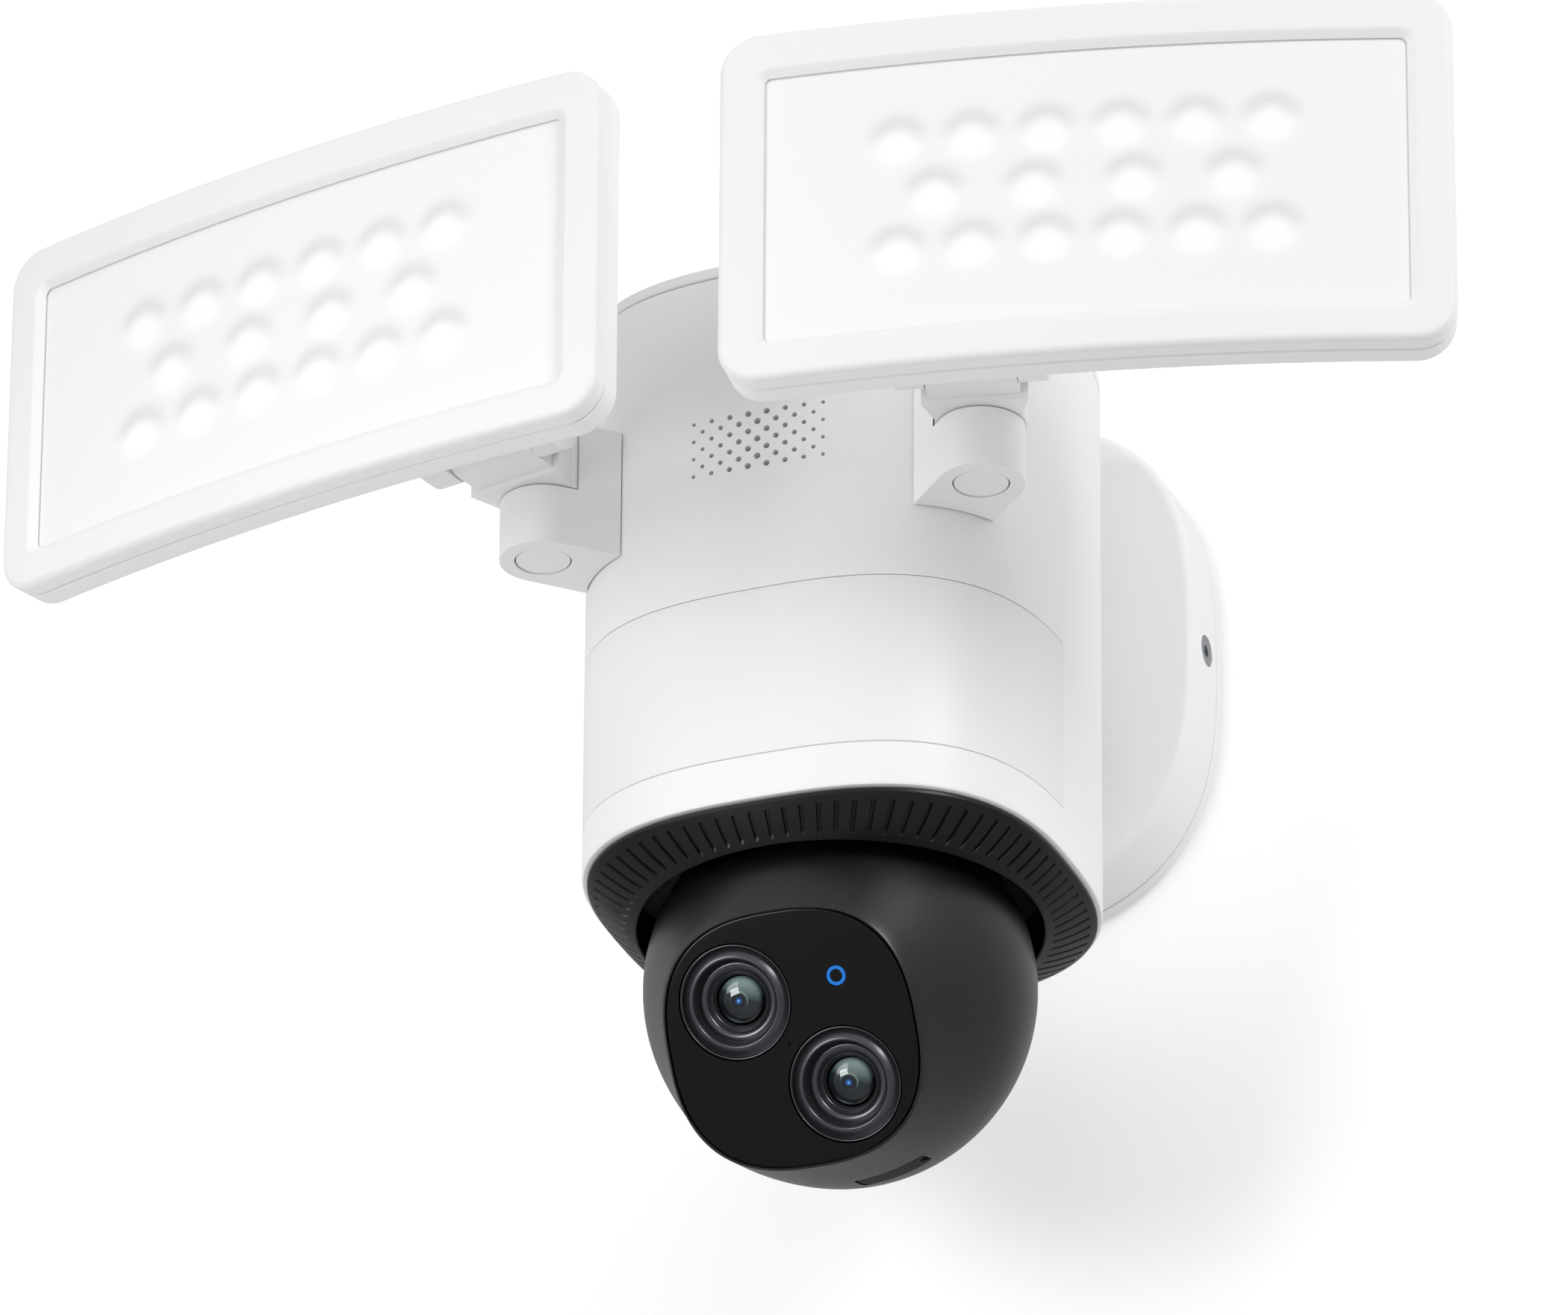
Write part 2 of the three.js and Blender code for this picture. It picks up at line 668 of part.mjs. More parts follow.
function ledGrid() {
  const places = [];
  for (const row of [1, -1]) {
    for (let i = 0; i < 6; i++) places.push([(i - 2.5) * ledPitchX, row * ledPitchZ]);
  }
  for (let i = 0; i < 4; i++) places.push([(i - 1.5) * ledPitchX * (4 / 3), 0]);
  return places;
}

function ledBoard(side) {
  const sheet = bentPlate(side, {
    ...diffuserOutline(2 + diffuserRebate),
    front: ledBoardDepth,
    back: ledBoardDepth + ledBoardThickness,
  });
  const domes = ledGrid().map(([across, up]) => {
    const at = onLamp(side, across, up + windowShift, ledBoardDepth + gap);
    return rod("y", ledDomeRadius / 2, at.y - ledDomeHeight, at.y + gap, [at.x, at.z], 6, ledDomeRadius);
  });
  return join(sheet, ...domes);
}

function lampRearShell(side) {
  const outer = bentPlate(side, {
    halfW: lampHalfW,
    halfH: lampHalfH,
    corner: lampCorner,
    front: bezelDepth + gap,
    back: lampDepth,
    backEdge: lampBackEdge,
  });
  const inner = bentPlate(side, {
    halfW: lampHalfW - shellWall,
    halfH: lampHalfH - shellWall,
    corner: lampCorner - shellWall,
    front: bezelDepth - past,
    back: lampDepth - shellWall,
  });
  const humpRing = (inset, y) =>
    squircle(humpHalfW - inset, humpHalfH - inset, humpExponent, 20).map(([x, z]) => vec(x, y, z + humpZ));
  const start = -lampForward + lampDepth - past;
  const steps = [[0, 0], [1.5, humpDepth], [2.7, humpDepth + past]];
  const hump = loft(steps.map(([inset, depth]) => humpRing(inset, start + depth)));
  return cut(join(outer, hump), inner);
}

function hingeBracket() {
  const back = -lampForward + lampDepth + humpDepth + gap;
  const bottom = tiltPinZ - earRadius;
  const top = tiltPinZ + earRadius + 18;
  const plate = box(-earOuter, earOuter, back, back + bracketPlate, bottom, top);
  const steps = 16;
  const rim = Array.from({ length: steps + 1 }, (_, i) => {
    const a = -Math.PI / 2 + (Math.PI * i) / steps;
    return [-tiltPinForward + earRadius * Math.cos(a), tiltPinZ + earRadius * Math.sin(a)];
  });
  const outline = [[back + past, bottom], ...rim, [back + past, top - 2]];
  const ears = [earInner, -earOuter].map((x0) =>
    prism(outline, 0, earOuter - earInner).applyMatrix4(standAlongX).translate(x0, 0, 0),
  );
  const across = earOuter + past;
  const pinBore = rod("x", tiltPinRadius + gap, -across, across, [-tiltPinForward, tiltPinZ], 16);
  return cut(join(plate, ...ears), pinBore);
}

// ---- pan and tilt drive -----------------------------------------------------------------
function gearOutline(teeth, module) {
  const pitch = (module * teeth) / 2;
  const tip = pitch + 0.75 * module;
  const root = pitch - 1.0 * module;
  const step = (2 * Math.PI) / teeth;
  const points = [];
  for (let i = 0; i < teeth; i++) {
    const a = i * step;
    for (const [share, radius] of [[-0.27, root], [-0.13, tip], [0.13, tip], [0.27, root]]) {
      points.push([radius * Math.cos(a + share * step), radius * Math.sin(a + share * step)]);
    }
  }
  return points;
}

function panCarrier() {
  const at = [0, ballAxisY];
  const y0 = ballAxisY - yokeHalfY;
  const y1 = ballAxisY + yokeHalfY;
  const disc = rod("z", carrierRadius, carrierBottom, carrierTop, at, 36);
  const hub = rod("z", hubRadius, carrierTop - past, chassisTop + 4, at, 28);
  const arms = [-1, 1].map((side) => {
    const x0 = side * yokeX - yokeThickness / 2;
    const x1 = x0 + yokeThickness;
    const upright = box(x0, x1, y0, y1, ballZ, carrierBottom + past);
    return join(upright, rod("x", yokeHalfY, x0, x1, [ballAxisY, ballZ], 20));
  });
  const hangerStart = -hangerX - hangerThickness / 2;
  const hanger = box(hangerStart, hangerStart + hangerThickness, y0, y1, ballZ + 10, carrierBottom + past);
  const axleBore = rod("x", axleRadius + runGap, -ballRadius, ballRadius, [ballAxisY, ballZ], 20);
  const shaftHole = [ballAxisY, tiltPinionZ];
  const hangerEnd = hangerStart + hangerThickness;
  const shaftBore = rod("x", 2 * tiltShaftRadius, hangerStart - past, hangerEnd + past, shaftHole, 12);
  const wireBore = rod("z", hubRadius / 2, carrierBottom - past, chassisTop + 4 + past, at, 16);
  return cut(join(disc, hub, ...arms, hanger), axleBore, shaftBore, wireBore);
}

function panGear() {
  const teeth = prism(gearOutline(panGearTeeth, gearModule), carrierTop + gap, chassisBottom - gap);
  const bore = rod("z", hubRadius + gap, carrierTop, chassisBottom, [0, 0], 28);
  return cut(teeth, bore).translate(0, ballAxisY, 0);
}

// The pinion starts half a tooth round, so that its gap faces the gear's tooth.
function panPinion() {
  const teeth = prism(gearOutline(panPinionTeeth, gearModule), carrierTop + gap, chassisBottom - gap);
  const bore = rod("z", panShaftRadius + gap, carrierTop, chassisBottom, [0, 0], 12);
  return cut(teeth, bore).rotateZ(Math.PI / panPinionTeeth).translate(0, panPinionY, 0);
}

function panMotor() {
  const at = [0, panPinionY];
  const can = rod("z", panMotorRadius, chassisTop + gap, chassisTop + panMotorHeight, at, 24);
  const shaft = rod("z", panShaftRadius, carrierTop + 2 * gap, chassisTop + past, at, 12);
  return join(can, shaft);
}

function panBearing() {
  const inner = hubRadius + gap;
  const at = [0, ballAxisY];
  const hole = rod("z", inner, chassisBottom - past, chassisTop + past, at, 28);
  return cut(rod("z", inner + bearingWidth, chassisBottom, chassisTop, at, 28), hole);
}


function tiltPinion() {
  const teeth = prism(gearOutline(tiltPinionTeeth, tiltModule), tiltGearStart, tiltGearEnd);
  const bore = rod("z", tiltShaftRadius + gap, tiltGearStart - past, tiltGearEnd + past, [0, 0], 12);
  const turned = cut(teeth, bore).rotateZ(Math.PI / 2 + Math.PI / tiltPinionTeeth);
  return turned.applyMatrix4(standAlongX).translate(0, ballAxisY, tiltPinionZ);
}

function tiltMotor() {
  const at = [ballAxisY, tiltPinionZ];
  const start = -hangerX + hangerThickness / 2 + gap;
  const can = rod("x", tiltMotorRadius, start, start + 13, at, 20);
  return join(can, rod("x", tiltShaftRadius, tiltGearStart, start + past, at, 12));
}

// ---- ball: in its own frame, face towards -Y, tilt axis along X -----------------------------
const faceRing = (half, height, y, sides = ballSides) =>
  squircle(half, height, plateExponent, sides).map(([x, z]) => vec(x, y, z + plateShift));

// The sphere with its chin: a cone-like skirt from the flat face back to the sphere.
function ballForm(shrink, sides) {
  const face = -plateDepth + shrink;
  const rim = plateRim - shrink;
  const edge = 2.6;
  const waist = ballRadius - 2.2 - shrink;
  const chin = loft([
    faceRing(plateHalfW + rim, plateHalfH + rim, face, sides),
    faceRing(plateHalfW + rim + 1.6, plateHalfH + rim + 1.6, face + edge, sides),
    squircle(waist, waist, 2, sides).map(([x, z]) => vec(x, -12, z)),
  ]);
  const sphere = ball(ballRadius - shrink, [0, 0, 0], sides, sides / 2).rotateX(Math.PI / 2);
  return join(common(sphere, slab(face, ballRadius + past)), chin);
}

// Room for the yoke's arms and motor as the ball tilts: a wedge open at the top, in the ball's frame.
function ballSlot() {
  const halfX = yokeX + yokeThickness / 2 + 1.2;
  const armAngle = THREE.MathUtils.radToDeg(Math.atan(yokeHalfY / 30)) + 2;
  const from = 90 - tiltDown - armAngle;
  const to = 90 + tiltUp + armAngle;
  const steps = 8;
  const reach = 1.6 * ballRadius;
  const outline = [[0, 0]];
  for (let i = 0; i <= steps; i++) {
    const a = rad(from + ((to - from) * i) / steps);
    outline.push([reach * Math.cos(a), reach * Math.sin(a)]);
  }
  const wedge = prism(outline, -halfX, halfX).applyMatrix4(standAlongX);
  return cut(wedge, ball(24, [0, 0, 0], 16, 8)).rotateX(rad(-ballTiltRest));
}

// All of the ball between two distances along its own Y.
function slab(y0, y1) {
  const half = ballRadius + 20;
  return box(-half, half, y0, y1, -half, half);
}

const ballSkin = (shrink) => cut(ballForm(0, ballSides), ballForm(shrink, hollowSides));

// Turns a piece made in front of the ball down to the service flap's place.
const atFlap = (geometry) => geometry.rotateZ(rad(flapAside)).rotateX(rad(flapBelowFace));

function flapBlank(grow) {
  const plan = squircle(flapHalfL + grow, flapHalfW + grow, 6, 20);
  const block = prism(plan, plateDepth - 5, ballRadius + 3).rotateX(Math.PI / 2);
  return atFlap(block);
}

// A rubber plug as thick as its pocket, with a notch for a fingernail at its free end.
function serviceFlap() {
  const skin = cut(ballForm(0, ballSides), ballForm(flapThickness, ballSides));
  const notch = rod("y", notchHalf, -ballRadius - 3, -plateDepth, [flapHalfL, 0], 16);
  return cut(common(skin, flapBlank(0)), atFlap(notch));
}

function ballFrontShell() {
  const face = -plateDepth;
  const plateSeat = loft([
    faceRing(plateHalfW + gap, plateHalfH + gap, face - past),
    faceRing(plateHalfW + gap, plateHalfH + gap, face + plateThickness + gap),
  ]);
  const lip = 1.2;
  const moduleHole = loft([
    faceRing(plateHalfW - lip, plateHalfH - lip, face - past),
    faceRing(plateHalfW - lip, plateHalfH - lip, face + 12),
  ]);
  const skin = common(ballSkin(ballWall), slab(face - past, ballSplit));
  const pocket = cut(flapBlank(gap), ballForm(flapThickness + gap, ballSides));
  return cut(skin, plateSeat, moduleHole, ballSlot(), pocket);
}

function ballRearShell() {
  return cut(common(ballSkin(ballWall), slab(ballSplit + gap, ballRadius + past)), ballSlot());
}

function facePlate() {
  const face = -plateDepth;
  const behind = face + plateThickness;
  const sheet = loft([
    faceRing(plateHalfW - gap, plateHalfH - gap, face),
    faceRing(plateHalfW, plateHalfH, face + gap),
    faceRing(plateHalfW, plateHalfH, behind),
  ]);
  const holes = Object.values(lensPlaces).map(([x, z]) =>
    rod("y", lensHoleRadius + gap, face - past, behind + past, [x, z + plateShift], 32),
  );
  const statusHole = rod("y", statusRadius + gap, face - past, behind + past, statusPlace, 20);
  return cut(sheet, ...holes, statusHole);
}

function lensBarrel([x, z]) {
  const face = -plateDepth;
  const at = [x, z + plateShift];
  const tube = rod("y", lensHoleRadius, face, face + barrelLength, at, 28);
  const funnel = rod("y", lensHoleRadius - 0.7, face - past, face + 2.2, at, 28, lensHoleRadius - 3.2);
  const well = rod("y", lensHoleRadius - 4, face + 2, face + 4.2, at, 24, lensHoleRadius - 5.2);
  const seat = rod("y", lensGlassRadius + 0.9, face + 4, face + 9, at, 24);
  const rear = rod("y", lensHoleRadius - 4.6, face + 12, face + barrelLength + past, at, 20);
  return cut(tube, funnel, well, seat, rear);
}

function lensGlass([x, z]) {
  const face = -plateDepth;
  const at = [x, z + plateShift];
  const body = rod("y", lensGlassRadius, face + 4.6, face + 8.7, at, 24);
  const dome = ball(lensGlassRadius, [0, 0, 0], 24, 10).scale(1, 0.42, 1).translate(at[0], face + 4.7, at[1]);
  return join(body, dome);
}

function statusRing() {
  return rod("y", statusRadius, -plateDepth + 0.1, -plateDepth + 6, statusPlace, 20);
}

function cameraBoard() {
  const y0 = -plateDepth + barrelLength + gap;
  const half = plateHalfW - 7.8;
  const sheet = box(-half, half, y0, y0 + boardThickness, plateShift - half, plateShift + half);
  const chips = box(-7, 7, y0 + past, y0 + boardThickness + 1.8, plateShift - 6, plateShift + 8);
  return join(sheet, chips);
}

function tiltGear() {
  const teeth = prism(gearOutline(tiltGearTeeth, tiltModule), tiltGearStart, tiltGearEnd).rotateZ(Math.PI / 2);
  const bore = rod("z", axleRadius + gap, tiltGearStart - past, tiltGearEnd + past, [0, 0], 20);
  return cut(teeth, bore).applyMatrix4(standAlongX).rotateX(rad(-ballTiltRest));
}

function tiltAxle() {
  return rod("x", axleRadius, yokeX - yokeThickness / 2 - 6.5, ballRadius - ballWall - 0.6, [0, 0], 20);
}

// ---- assembly -----------------------------------------------------------------------------
add("wall_bracket", wallBracket(), "steel");
add("wall_gasket", canopyRing(gasketInset, ringWidth, 0, -gasketThickness), "rubber");
add("canopy_rear_ring", canopyRing(0, ringWidth, -gasketThickness - gap, rearRingEndY), "white");
add("base_canopy", baseCanopy(), "white");
add("locking_screw_right", lockingScrew(1), "steel");
add("locking_screw_left", lockingScrew(-1), "steel");
add("wall_neck", wallNeck(), "white");
add("cable_gland", cableGland(), "rubber");

add("body_shell", bodyShell(), "white");
add("top_cap", topCap(), "white");
add("sensor_window", windowBand(0, windowDepth, gap), "windowWhite");
add("hood_ring", hoodRing(), "charcoal");
add("chassis", chassis(), "charcoal");
add("speaker", speaker(), "rubber");
add("sensor_board", sensorBoard(), "board");
for (const [label, can] of sensorRods(sensorRadius, bodyHalf - 11, bodyHalf - bodyWall - 1.2)) {
  add("pir_sensor_" + label, can, "steel");
}
const mainBlocks = [[-16, 10, 12, 12, 4], [18, -8, 9, 9, 6]];
const powerBlocks = [[-12, 20, 9, 12, 9], [12, -10, 10, 10, 7]];
add("main_board", circuitBoard(bodyHalf - 18, bodyCentreY + 18.7, mainBlocks), "board");
add("power_board", circuitBoard(bodyHalf - 28, bodyCentreY + 36.7, powerBlocks), "board");
add("pan_motor", panMotor(), "steel");
add("pan_bearing", panBearing(), "steel");

for (const [label, side] of [["right", 1], ["left", -1]]) {
  add("lamp_arm_" + label, lampArm(side), "white");
  add("arm_plug_" + label, armPlug(), "white").position.set(side * swivelX, swivelY, 0);

  const swivel = new THREE.Group();
  swivel.position.set(side * swivelX, swivelY, 0);
  swivel.rotation.z = rad(side * lampYaw);
  camera.add(swivel);
  add("swivel_knuckle_" + label, swivelKnuckle(), "white", swivel);
  add("hinge_pin_" + label, hingePin(), "steel", swivel);
  add("hinge_bracket_" + label, hingeBracket(), "white", swivel);
  add("lamp_rear_shell_" + label, lampRearShell(side), "white", swivel);
  add("lamp_bezel_" + label, lampBezel(side), "white", swivel);
  add("lamp_diffuser_" + label, lampDiffuser(side), "diffuser", swivel);
  add("led_board_" + label, ledBoard(side), "aluminium", swivel);
}

add("pan_carrier", panCarrier(), "charcoal");
add("pan_gear", panGear(), "nylon");
add("pan_pinion", panPinion(), "nylon");
add("tilt_motor", tiltMotor(), "steel");
add("tilt_pinion", tiltPinion(), "nylon");

const head = new THREE.Group();
head.position.set(0, ballAxisY, ballZ);
head.rotation.x = rad(ballTiltRest);
camera.add(head);
add("ball_front_shell", ballFrontShell(), "charcoal", head);
add("ball_rear_shell", ballRearShell(), "charcoal", head);
add("face_plate", facePlate(), "gloss", head);
add("lens_barrel_upper", lensBarrel(lensPlaces.upper), "gloss", head);
add("lens_barrel_lower", lensBarrel(lensPlaces.lower), "gloss", head);
add("lens_glass_upper", lensGlass(lensPlaces.upper), "glass", head);
add("lens_glass_lower", lensGlass(lensPlaces.lower), "glass", head);
add("status_light", statusRing(), "led", head);
add("camera_board", cameraBoard(), "board", head);
add("tilt_gear", tiltGear(), "nylon", head);
add("tilt_axle_right", tiltAxle(), "steel", head);
add("tilt_axle_left", tiltAxle().rotateZ(Math.PI), "steel", head);
add("service_flap", serviceFlap(), "rubber", head);

export default camera;
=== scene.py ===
import json
import math

import bmesh
import bpy
import numpy as np
from mathutils import Matrix, Vector


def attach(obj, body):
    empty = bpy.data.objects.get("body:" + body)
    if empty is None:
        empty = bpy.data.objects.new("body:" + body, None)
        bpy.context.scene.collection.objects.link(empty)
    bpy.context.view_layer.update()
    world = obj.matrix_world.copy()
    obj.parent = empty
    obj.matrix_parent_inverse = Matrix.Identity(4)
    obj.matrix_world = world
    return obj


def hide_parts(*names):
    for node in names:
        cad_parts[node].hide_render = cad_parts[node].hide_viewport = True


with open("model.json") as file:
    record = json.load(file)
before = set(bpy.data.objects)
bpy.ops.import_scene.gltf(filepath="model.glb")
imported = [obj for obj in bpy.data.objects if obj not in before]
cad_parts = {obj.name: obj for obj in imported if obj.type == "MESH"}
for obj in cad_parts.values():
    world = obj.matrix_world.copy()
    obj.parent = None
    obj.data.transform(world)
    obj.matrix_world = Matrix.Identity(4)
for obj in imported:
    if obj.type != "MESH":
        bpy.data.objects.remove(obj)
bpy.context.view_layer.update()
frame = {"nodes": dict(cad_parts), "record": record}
print("frame loaded:", len(frame["nodes"]), "nodes")

mm = 0.001  # the sizes below are in millimetres, the scene is in metres


# colours and nodes

def hexColour(code):
    parts = [int(code[i:i + 2], 16) / 255 for i in (1, 3, 5)]
    return [p / 12.92 if p <= 0.04045 else ((p + 0.055) / 1.055) ** 2.4 for p in parts] + [1.0]


def addNode(tree, kind, settings=None, links=None):
    made = tree.nodes.new(kind)
    for key, value in (settings or {}).items():
        if key in made.inputs:
            made.inputs[key].default_value = value
        else:
            setattr(made, key, value)
    for key, source in (links or {}).items():
        tree.links.new(source, made.inputs[key])
    return made


def startMaterial(name, **surface):
    material = bpy.data.materials.new(name)
    material.use_nodes = True
    tree = material.node_tree
    shader = tree.nodes["Principled BSDF"]
    for key, value in surface.items():
        shader.inputs[key.replace("_", " ")].default_value = value
    return material, tree, shader


# patch sizes, and a pit's depth as a share of the grain
moulding = {"cloud": 45, "smear": 12, "pitDepth": 0.12}


# a fine moulded surface: faint colour drift, roughness drift and a grain in relief
def mouldedSurface(name, colour, drift, rough, roughDrift, grain, relief, **surface):
    material, tree, shader = startMaterial(name, **surface)
    place = addNode(tree, "ShaderNodeTexCoord").outputs["Object"]
    cloud = addNode(tree, "ShaderNodeTexNoise", {"Scale": 1 / (moulding["cloud"] * mm), "Detail": 3.0},
                    {"Vector": place})
    tint = addNode(tree, "ShaderNodeMix",
                   {"data_type": "RGBA", "A": hexColour(colour), "B": hexColour(drift)},
                   {"Factor": cloud.outputs["Fac"]})
    tree.links.new(tint.outputs["Result"], shader.inputs["Base Color"])
    smear = addNode(tree, "ShaderNodeTexNoise", {"Scale": 1 / (moulding["smear"] * mm), "Detail": 4.0},
                    {"Vector": place})
    spread = addNode(tree, "ShaderNodeMapRange", {"To Min": rough - roughDrift, "To Max": rough + roughDrift},
                     {"Value": smear.outputs["Fac"]})
    tree.links.new(spread.outputs["Result"], shader.inputs["Roughness"])
    pits = addNode(tree, "ShaderNodeTexNoise", {"Scale": 1 / (grain * mm), "Detail": 2.0}, {"Vector": place})
    bump = addNode(tree, "ShaderNodeBump",
                   {"Strength": relief, "Distance": grain * moulding["pitDepth"] * mm},
                   {"Height": pits.outputs["Fac"]})
    tree.links.new(bump.outputs["Normal"], shader.inputs["Normal"])
    return material


# moulded ASA: opaque, bright and slightly satin, so edges catch a soft light line
mouldedAsa = mouldedSurface("mouldedAsa", "#F4F4F4", "#F2F2F2", 0.5, 0.03, 0.7, 0.10, IOR=1.49)

# milky high-density polythene of the sensor window: a touch greyer and smoother than the housing
windowPolythene = mouldedSurface("windowPolythene", "#F0F1F1", "#EEEFEF", 0.44, 0.02, 0.9, 0.05, IOR=1.51)

# spark-eroded ABS of the ball: deep charcoal with a broad soft highlight
sparkErodedAbs = mouldedSurface("sparkErodedAbs", "#090A0B", "#0C0D0E", 0.33, 0.03, 0.35, 0.22, IOR=1.53,
                                Specular_IOR_Level=0.6)

# the hood's ABS: the same charcoal, grained a little coarser
grainedAbs = mouldedSurface("grainedAbs", "#121316", "#15161A", 0.38, 0.03, 0.5, 0.25, IOR=1.53,
                            Specular_IOR_Level=0.35)

# polished black acrylic of the face: near black, with a clear soft gradient of the light above
blackAcrylic = mouldedSurface("blackAcrylic", "#060606", "#080809", 0.2, 0.01, 2.0, 0.01, IOR=1.49,
                              Specular_IOR_Level=0.36)

# black anodised aluminium of the lens rings: dark metal whose edges flash
blackAnodised = mouldedSurface("blackAnodised", "#5C5C61", "#646469", 0.27, 0.03, 0.4, 0.05, Metallic=0.85)

# silicone rubber: flat, dusty and very dark
siliconeRubber = mouldedSurface("siliconeRubber", "#232427", "#28292C", 0.72, 0.05, 0.4, 0.25, IOR=1.41)

# moulded nylon gears: warm white and waxy
mouldedNylon = mouldedSurface("mouldedNylon", "#E8E2D2", "#DED7C4", 0.45, 0.05, 0.6, 0.1, IOR=1.53)

# glass-fibre board under solder mask: deep green with a slight shine
solderMask = mouldedSurface("solderMask", "#1C5A3A", "#17492F", 0.35, 0.06, 1.2, 0.15, IOR=1.55)


brushing = {"stretch": (0.06, 1.0, 1.0), "spread": 0.07, "depth": 0.02}


# bare and plated metal: a fine grain drawn out along one direction
def brushedMetal(name, colour, rough, grain):
    material, tree, shader = startMaterial(name, Metallic=1.0, Base_Color=hexColour(colour))
    place = addNode(tree, "ShaderNodeTexCoord").outputs["Object"]
    stretch = addNode(tree, "ShaderNodeMapping", {"Scale": brushing["stretch"]}, {"Vector": place})
    lines = addNode(tree, "ShaderNodeTexNoise", {"Scale": 1 / (grain * mm), "Detail": 3.0},
                    {"Vector": stretch.outputs["Vector"]})
    spread = addNode(tree, "ShaderNodeMapRange",
                     {"To Min": rough - brushing["spread"], "To Max": rough + brushing["spread"]},
                     {"Value": lines.outputs["Fac"]})
    tree.links.new(spread.outputs["Result"], shader.inputs["Roughness"])
    bump = addNode(tree, "ShaderNodeBump", {"Strength": 0.2, "Distance": brushing["depth"] * mm},
                   {"Height": lines.outputs["Fac"]})
    tree.links.new(bump.outputs["Normal"], shader.inputs["Normal"])
    return material


# zinc-plated steel: cool grey, its brushing just visible
zincPlatedSteel = brushedMetal("zincPlatedSteel", "#B9BCC0", 0.34, 0.4)

# rolled aluminium of the LED boards: paler, with broader lines
rolledAluminium = brushedMetal("rolledAluminium", "#D2D5D8", 0.38, 0.6)


# opal polycarbonate of the lamp windows: milky, with a painted shade crescent above each dome behind it, a
# painted highlight just below each dome's middle, and a faint painted glow
opal = {"shade": "#C9CACB", "white": "#FBFBFB", "glow": 0.05, "frost": 0.8, "frostDepth": 0.05}


def opalSheet():
    material, tree, shader = startMaterial("opalPolycarbonate", Roughness=0.32, IOR=1.58,
                                           Emission_Strength=opal["glow"])
    place = addNode(tree, "ShaderNodeTexCoord").outputs["Object"]
    domes = addNode(tree, "ShaderNodeAttribute", {"attribute_name": "paintedDomeShading"})
    tint = addNode(tree, "ShaderNodeMix",
                   {"data_type": "RGBA", "A": hexColour(opal["shade"]), "B": hexColour(opal["white"])},
                   {"Factor": domes.outputs["Fac"]})
    tree.links.new(tint.outputs["Result"], shader.inputs["Base Color"])
    tree.links.new(tint.outputs["Result"], shader.inputs["Emission Color"])
    frost = addNode(tree, "ShaderNodeTexNoise", {"Scale": 1 / (opal["frost"] * mm), "Detail": 2.0},
                    {"Vector": place})
    bump = addNode(tree, "ShaderNodeBump", {"Strength": 0.08, "Distance": opal["frostDepth"] * mm},
                   {"Height": frost.outputs["Fac"]})
    tree.links.new(bump.outputs["Normal"], shader.inputs["Normal"])
    return material


opalPolycarbonate = opalSheet()


# glass of a lens with a clear coat: black depth, a painted blue-green reflection towards the top and a
# painted blue glint glowing at the middle
lensPaintedLight = {
    "paintedReflection": (("#07090B", 0.0), ("#1E2A30", 0.45), ("#A8C4C0", 1.0)),
    "paintedGlint": (("#000000", 0.0), ("#1B5FB0", 0.6), ("#8CCBFF", 1.0)),
}


def lensWithPaintedLight():
    material, tree, shader = startMaterial("glassWithPaintedLight", Roughness=0.04, IOR=1.52, Coat_Weight=0.6,
                                           Coat_Roughness=0.02, Emission_Strength=0.9)
    for layer, stops, socket in (("lensPaintedReflection", lensPaintedLight["paintedReflection"], "Base Color"),
                                 ("lensPaintedGlint", lensPaintedLight["paintedGlint"], "Emission Color")):
        share = addNode(tree, "ShaderNodeAttribute", {"attribute_name": layer})
        ramp = addNode(tree, "ShaderNodeValToRGB", links={"Fac": share.outputs["Fac"]})
        ramp.color_ramp.elements.new(stops[1][1])
        for element, (colour, _) in zip(ramp.color_ramp.elements, stops):
            element.color = hexColour(colour)
        tree.links.new(ramp.outputs["Color"], shader.inputs[socket])
    return material


glassWithPaintedLight = lensWithPaintedLight()


# the lit light guide round the status light: saturated blue that glows a little
def litGuide():
    material, tree, shader = startMaterial("litLightGuide", Roughness=0.3, IOR=1.49, Emission_Strength=0.28)
    place = addNode(tree, "ShaderNodeTexCoord").outputs["Object"]
    haze = addNode(tree, "ShaderNodeTexNoise", {"Scale": 1 / (1.5 * mm)}, {"Vector": place})
    tint = addNode(tree, "ShaderNodeMix",
                   {"data_type": "RGBA", "A": hexColour("#0F5FB4"), "B": hexColour("#1C7FDB")},
                   {"Factor": haze.outputs["Fac"]})
    tree.links.new(tint.outputs["Result"], shader.inputs["Base Color"])
    tree.links.new(tint.outputs["Result"], shader.inputs["Emission Color"])
    return material


litLightGuide = litGuide()

finishOfSlot = {
    "housing_white": mouldedAsa,
    "window_white": windowPolythene,
    "frosted_diffuser": opalPolycarbonate,
    "charcoal_plastic": sparkErodedAbs,
    "gloss_black": blackAcrylic,
    "dark_rubber": siliconeRubber,
    "lens_glass": glassWithPaintedLight,
    "status_light_blue": litLightGuide,
    "steel": zincPlatedSteel,
    "circuit_board": solderMask,
    "led_board_aluminium": rolledAluminium,
    "gear_nylon": mouldedNylon,
}
slotOfNode = {s["node"]: s["material_slot"] for s in frame["record"]["subparts"]}
for nodeName, cadNode in frame["nodes"].items():
    cadNode.data.materials.clear()
    cadNode.data.materials.append(finishOfSlot[slotOfNode[nodeName]])
print("materials made:", len(finishOfSlot))


# mesh helpers: rings of points are joined into skins, and skins are cut and softened

def squircle(halfX, halfY, exponent, count):
    a = np.linspace(0, 2 * math.pi, count, endpoint=False)
    c, s = np.cos(a), np.sin(a)
    x = halfX * np.sign(c) * np.abs(c) ** (2 / exponent)
    y = halfY * np.sign(s) * np.abs(s) ** (2 / exponent)
    return np.c_[x, y]


def circle(radius, count):
    return squircle(radius, radius, 2, count)


def flatRing(plan, z):
    return np.c_[plan, np.full(len(plan), z)]


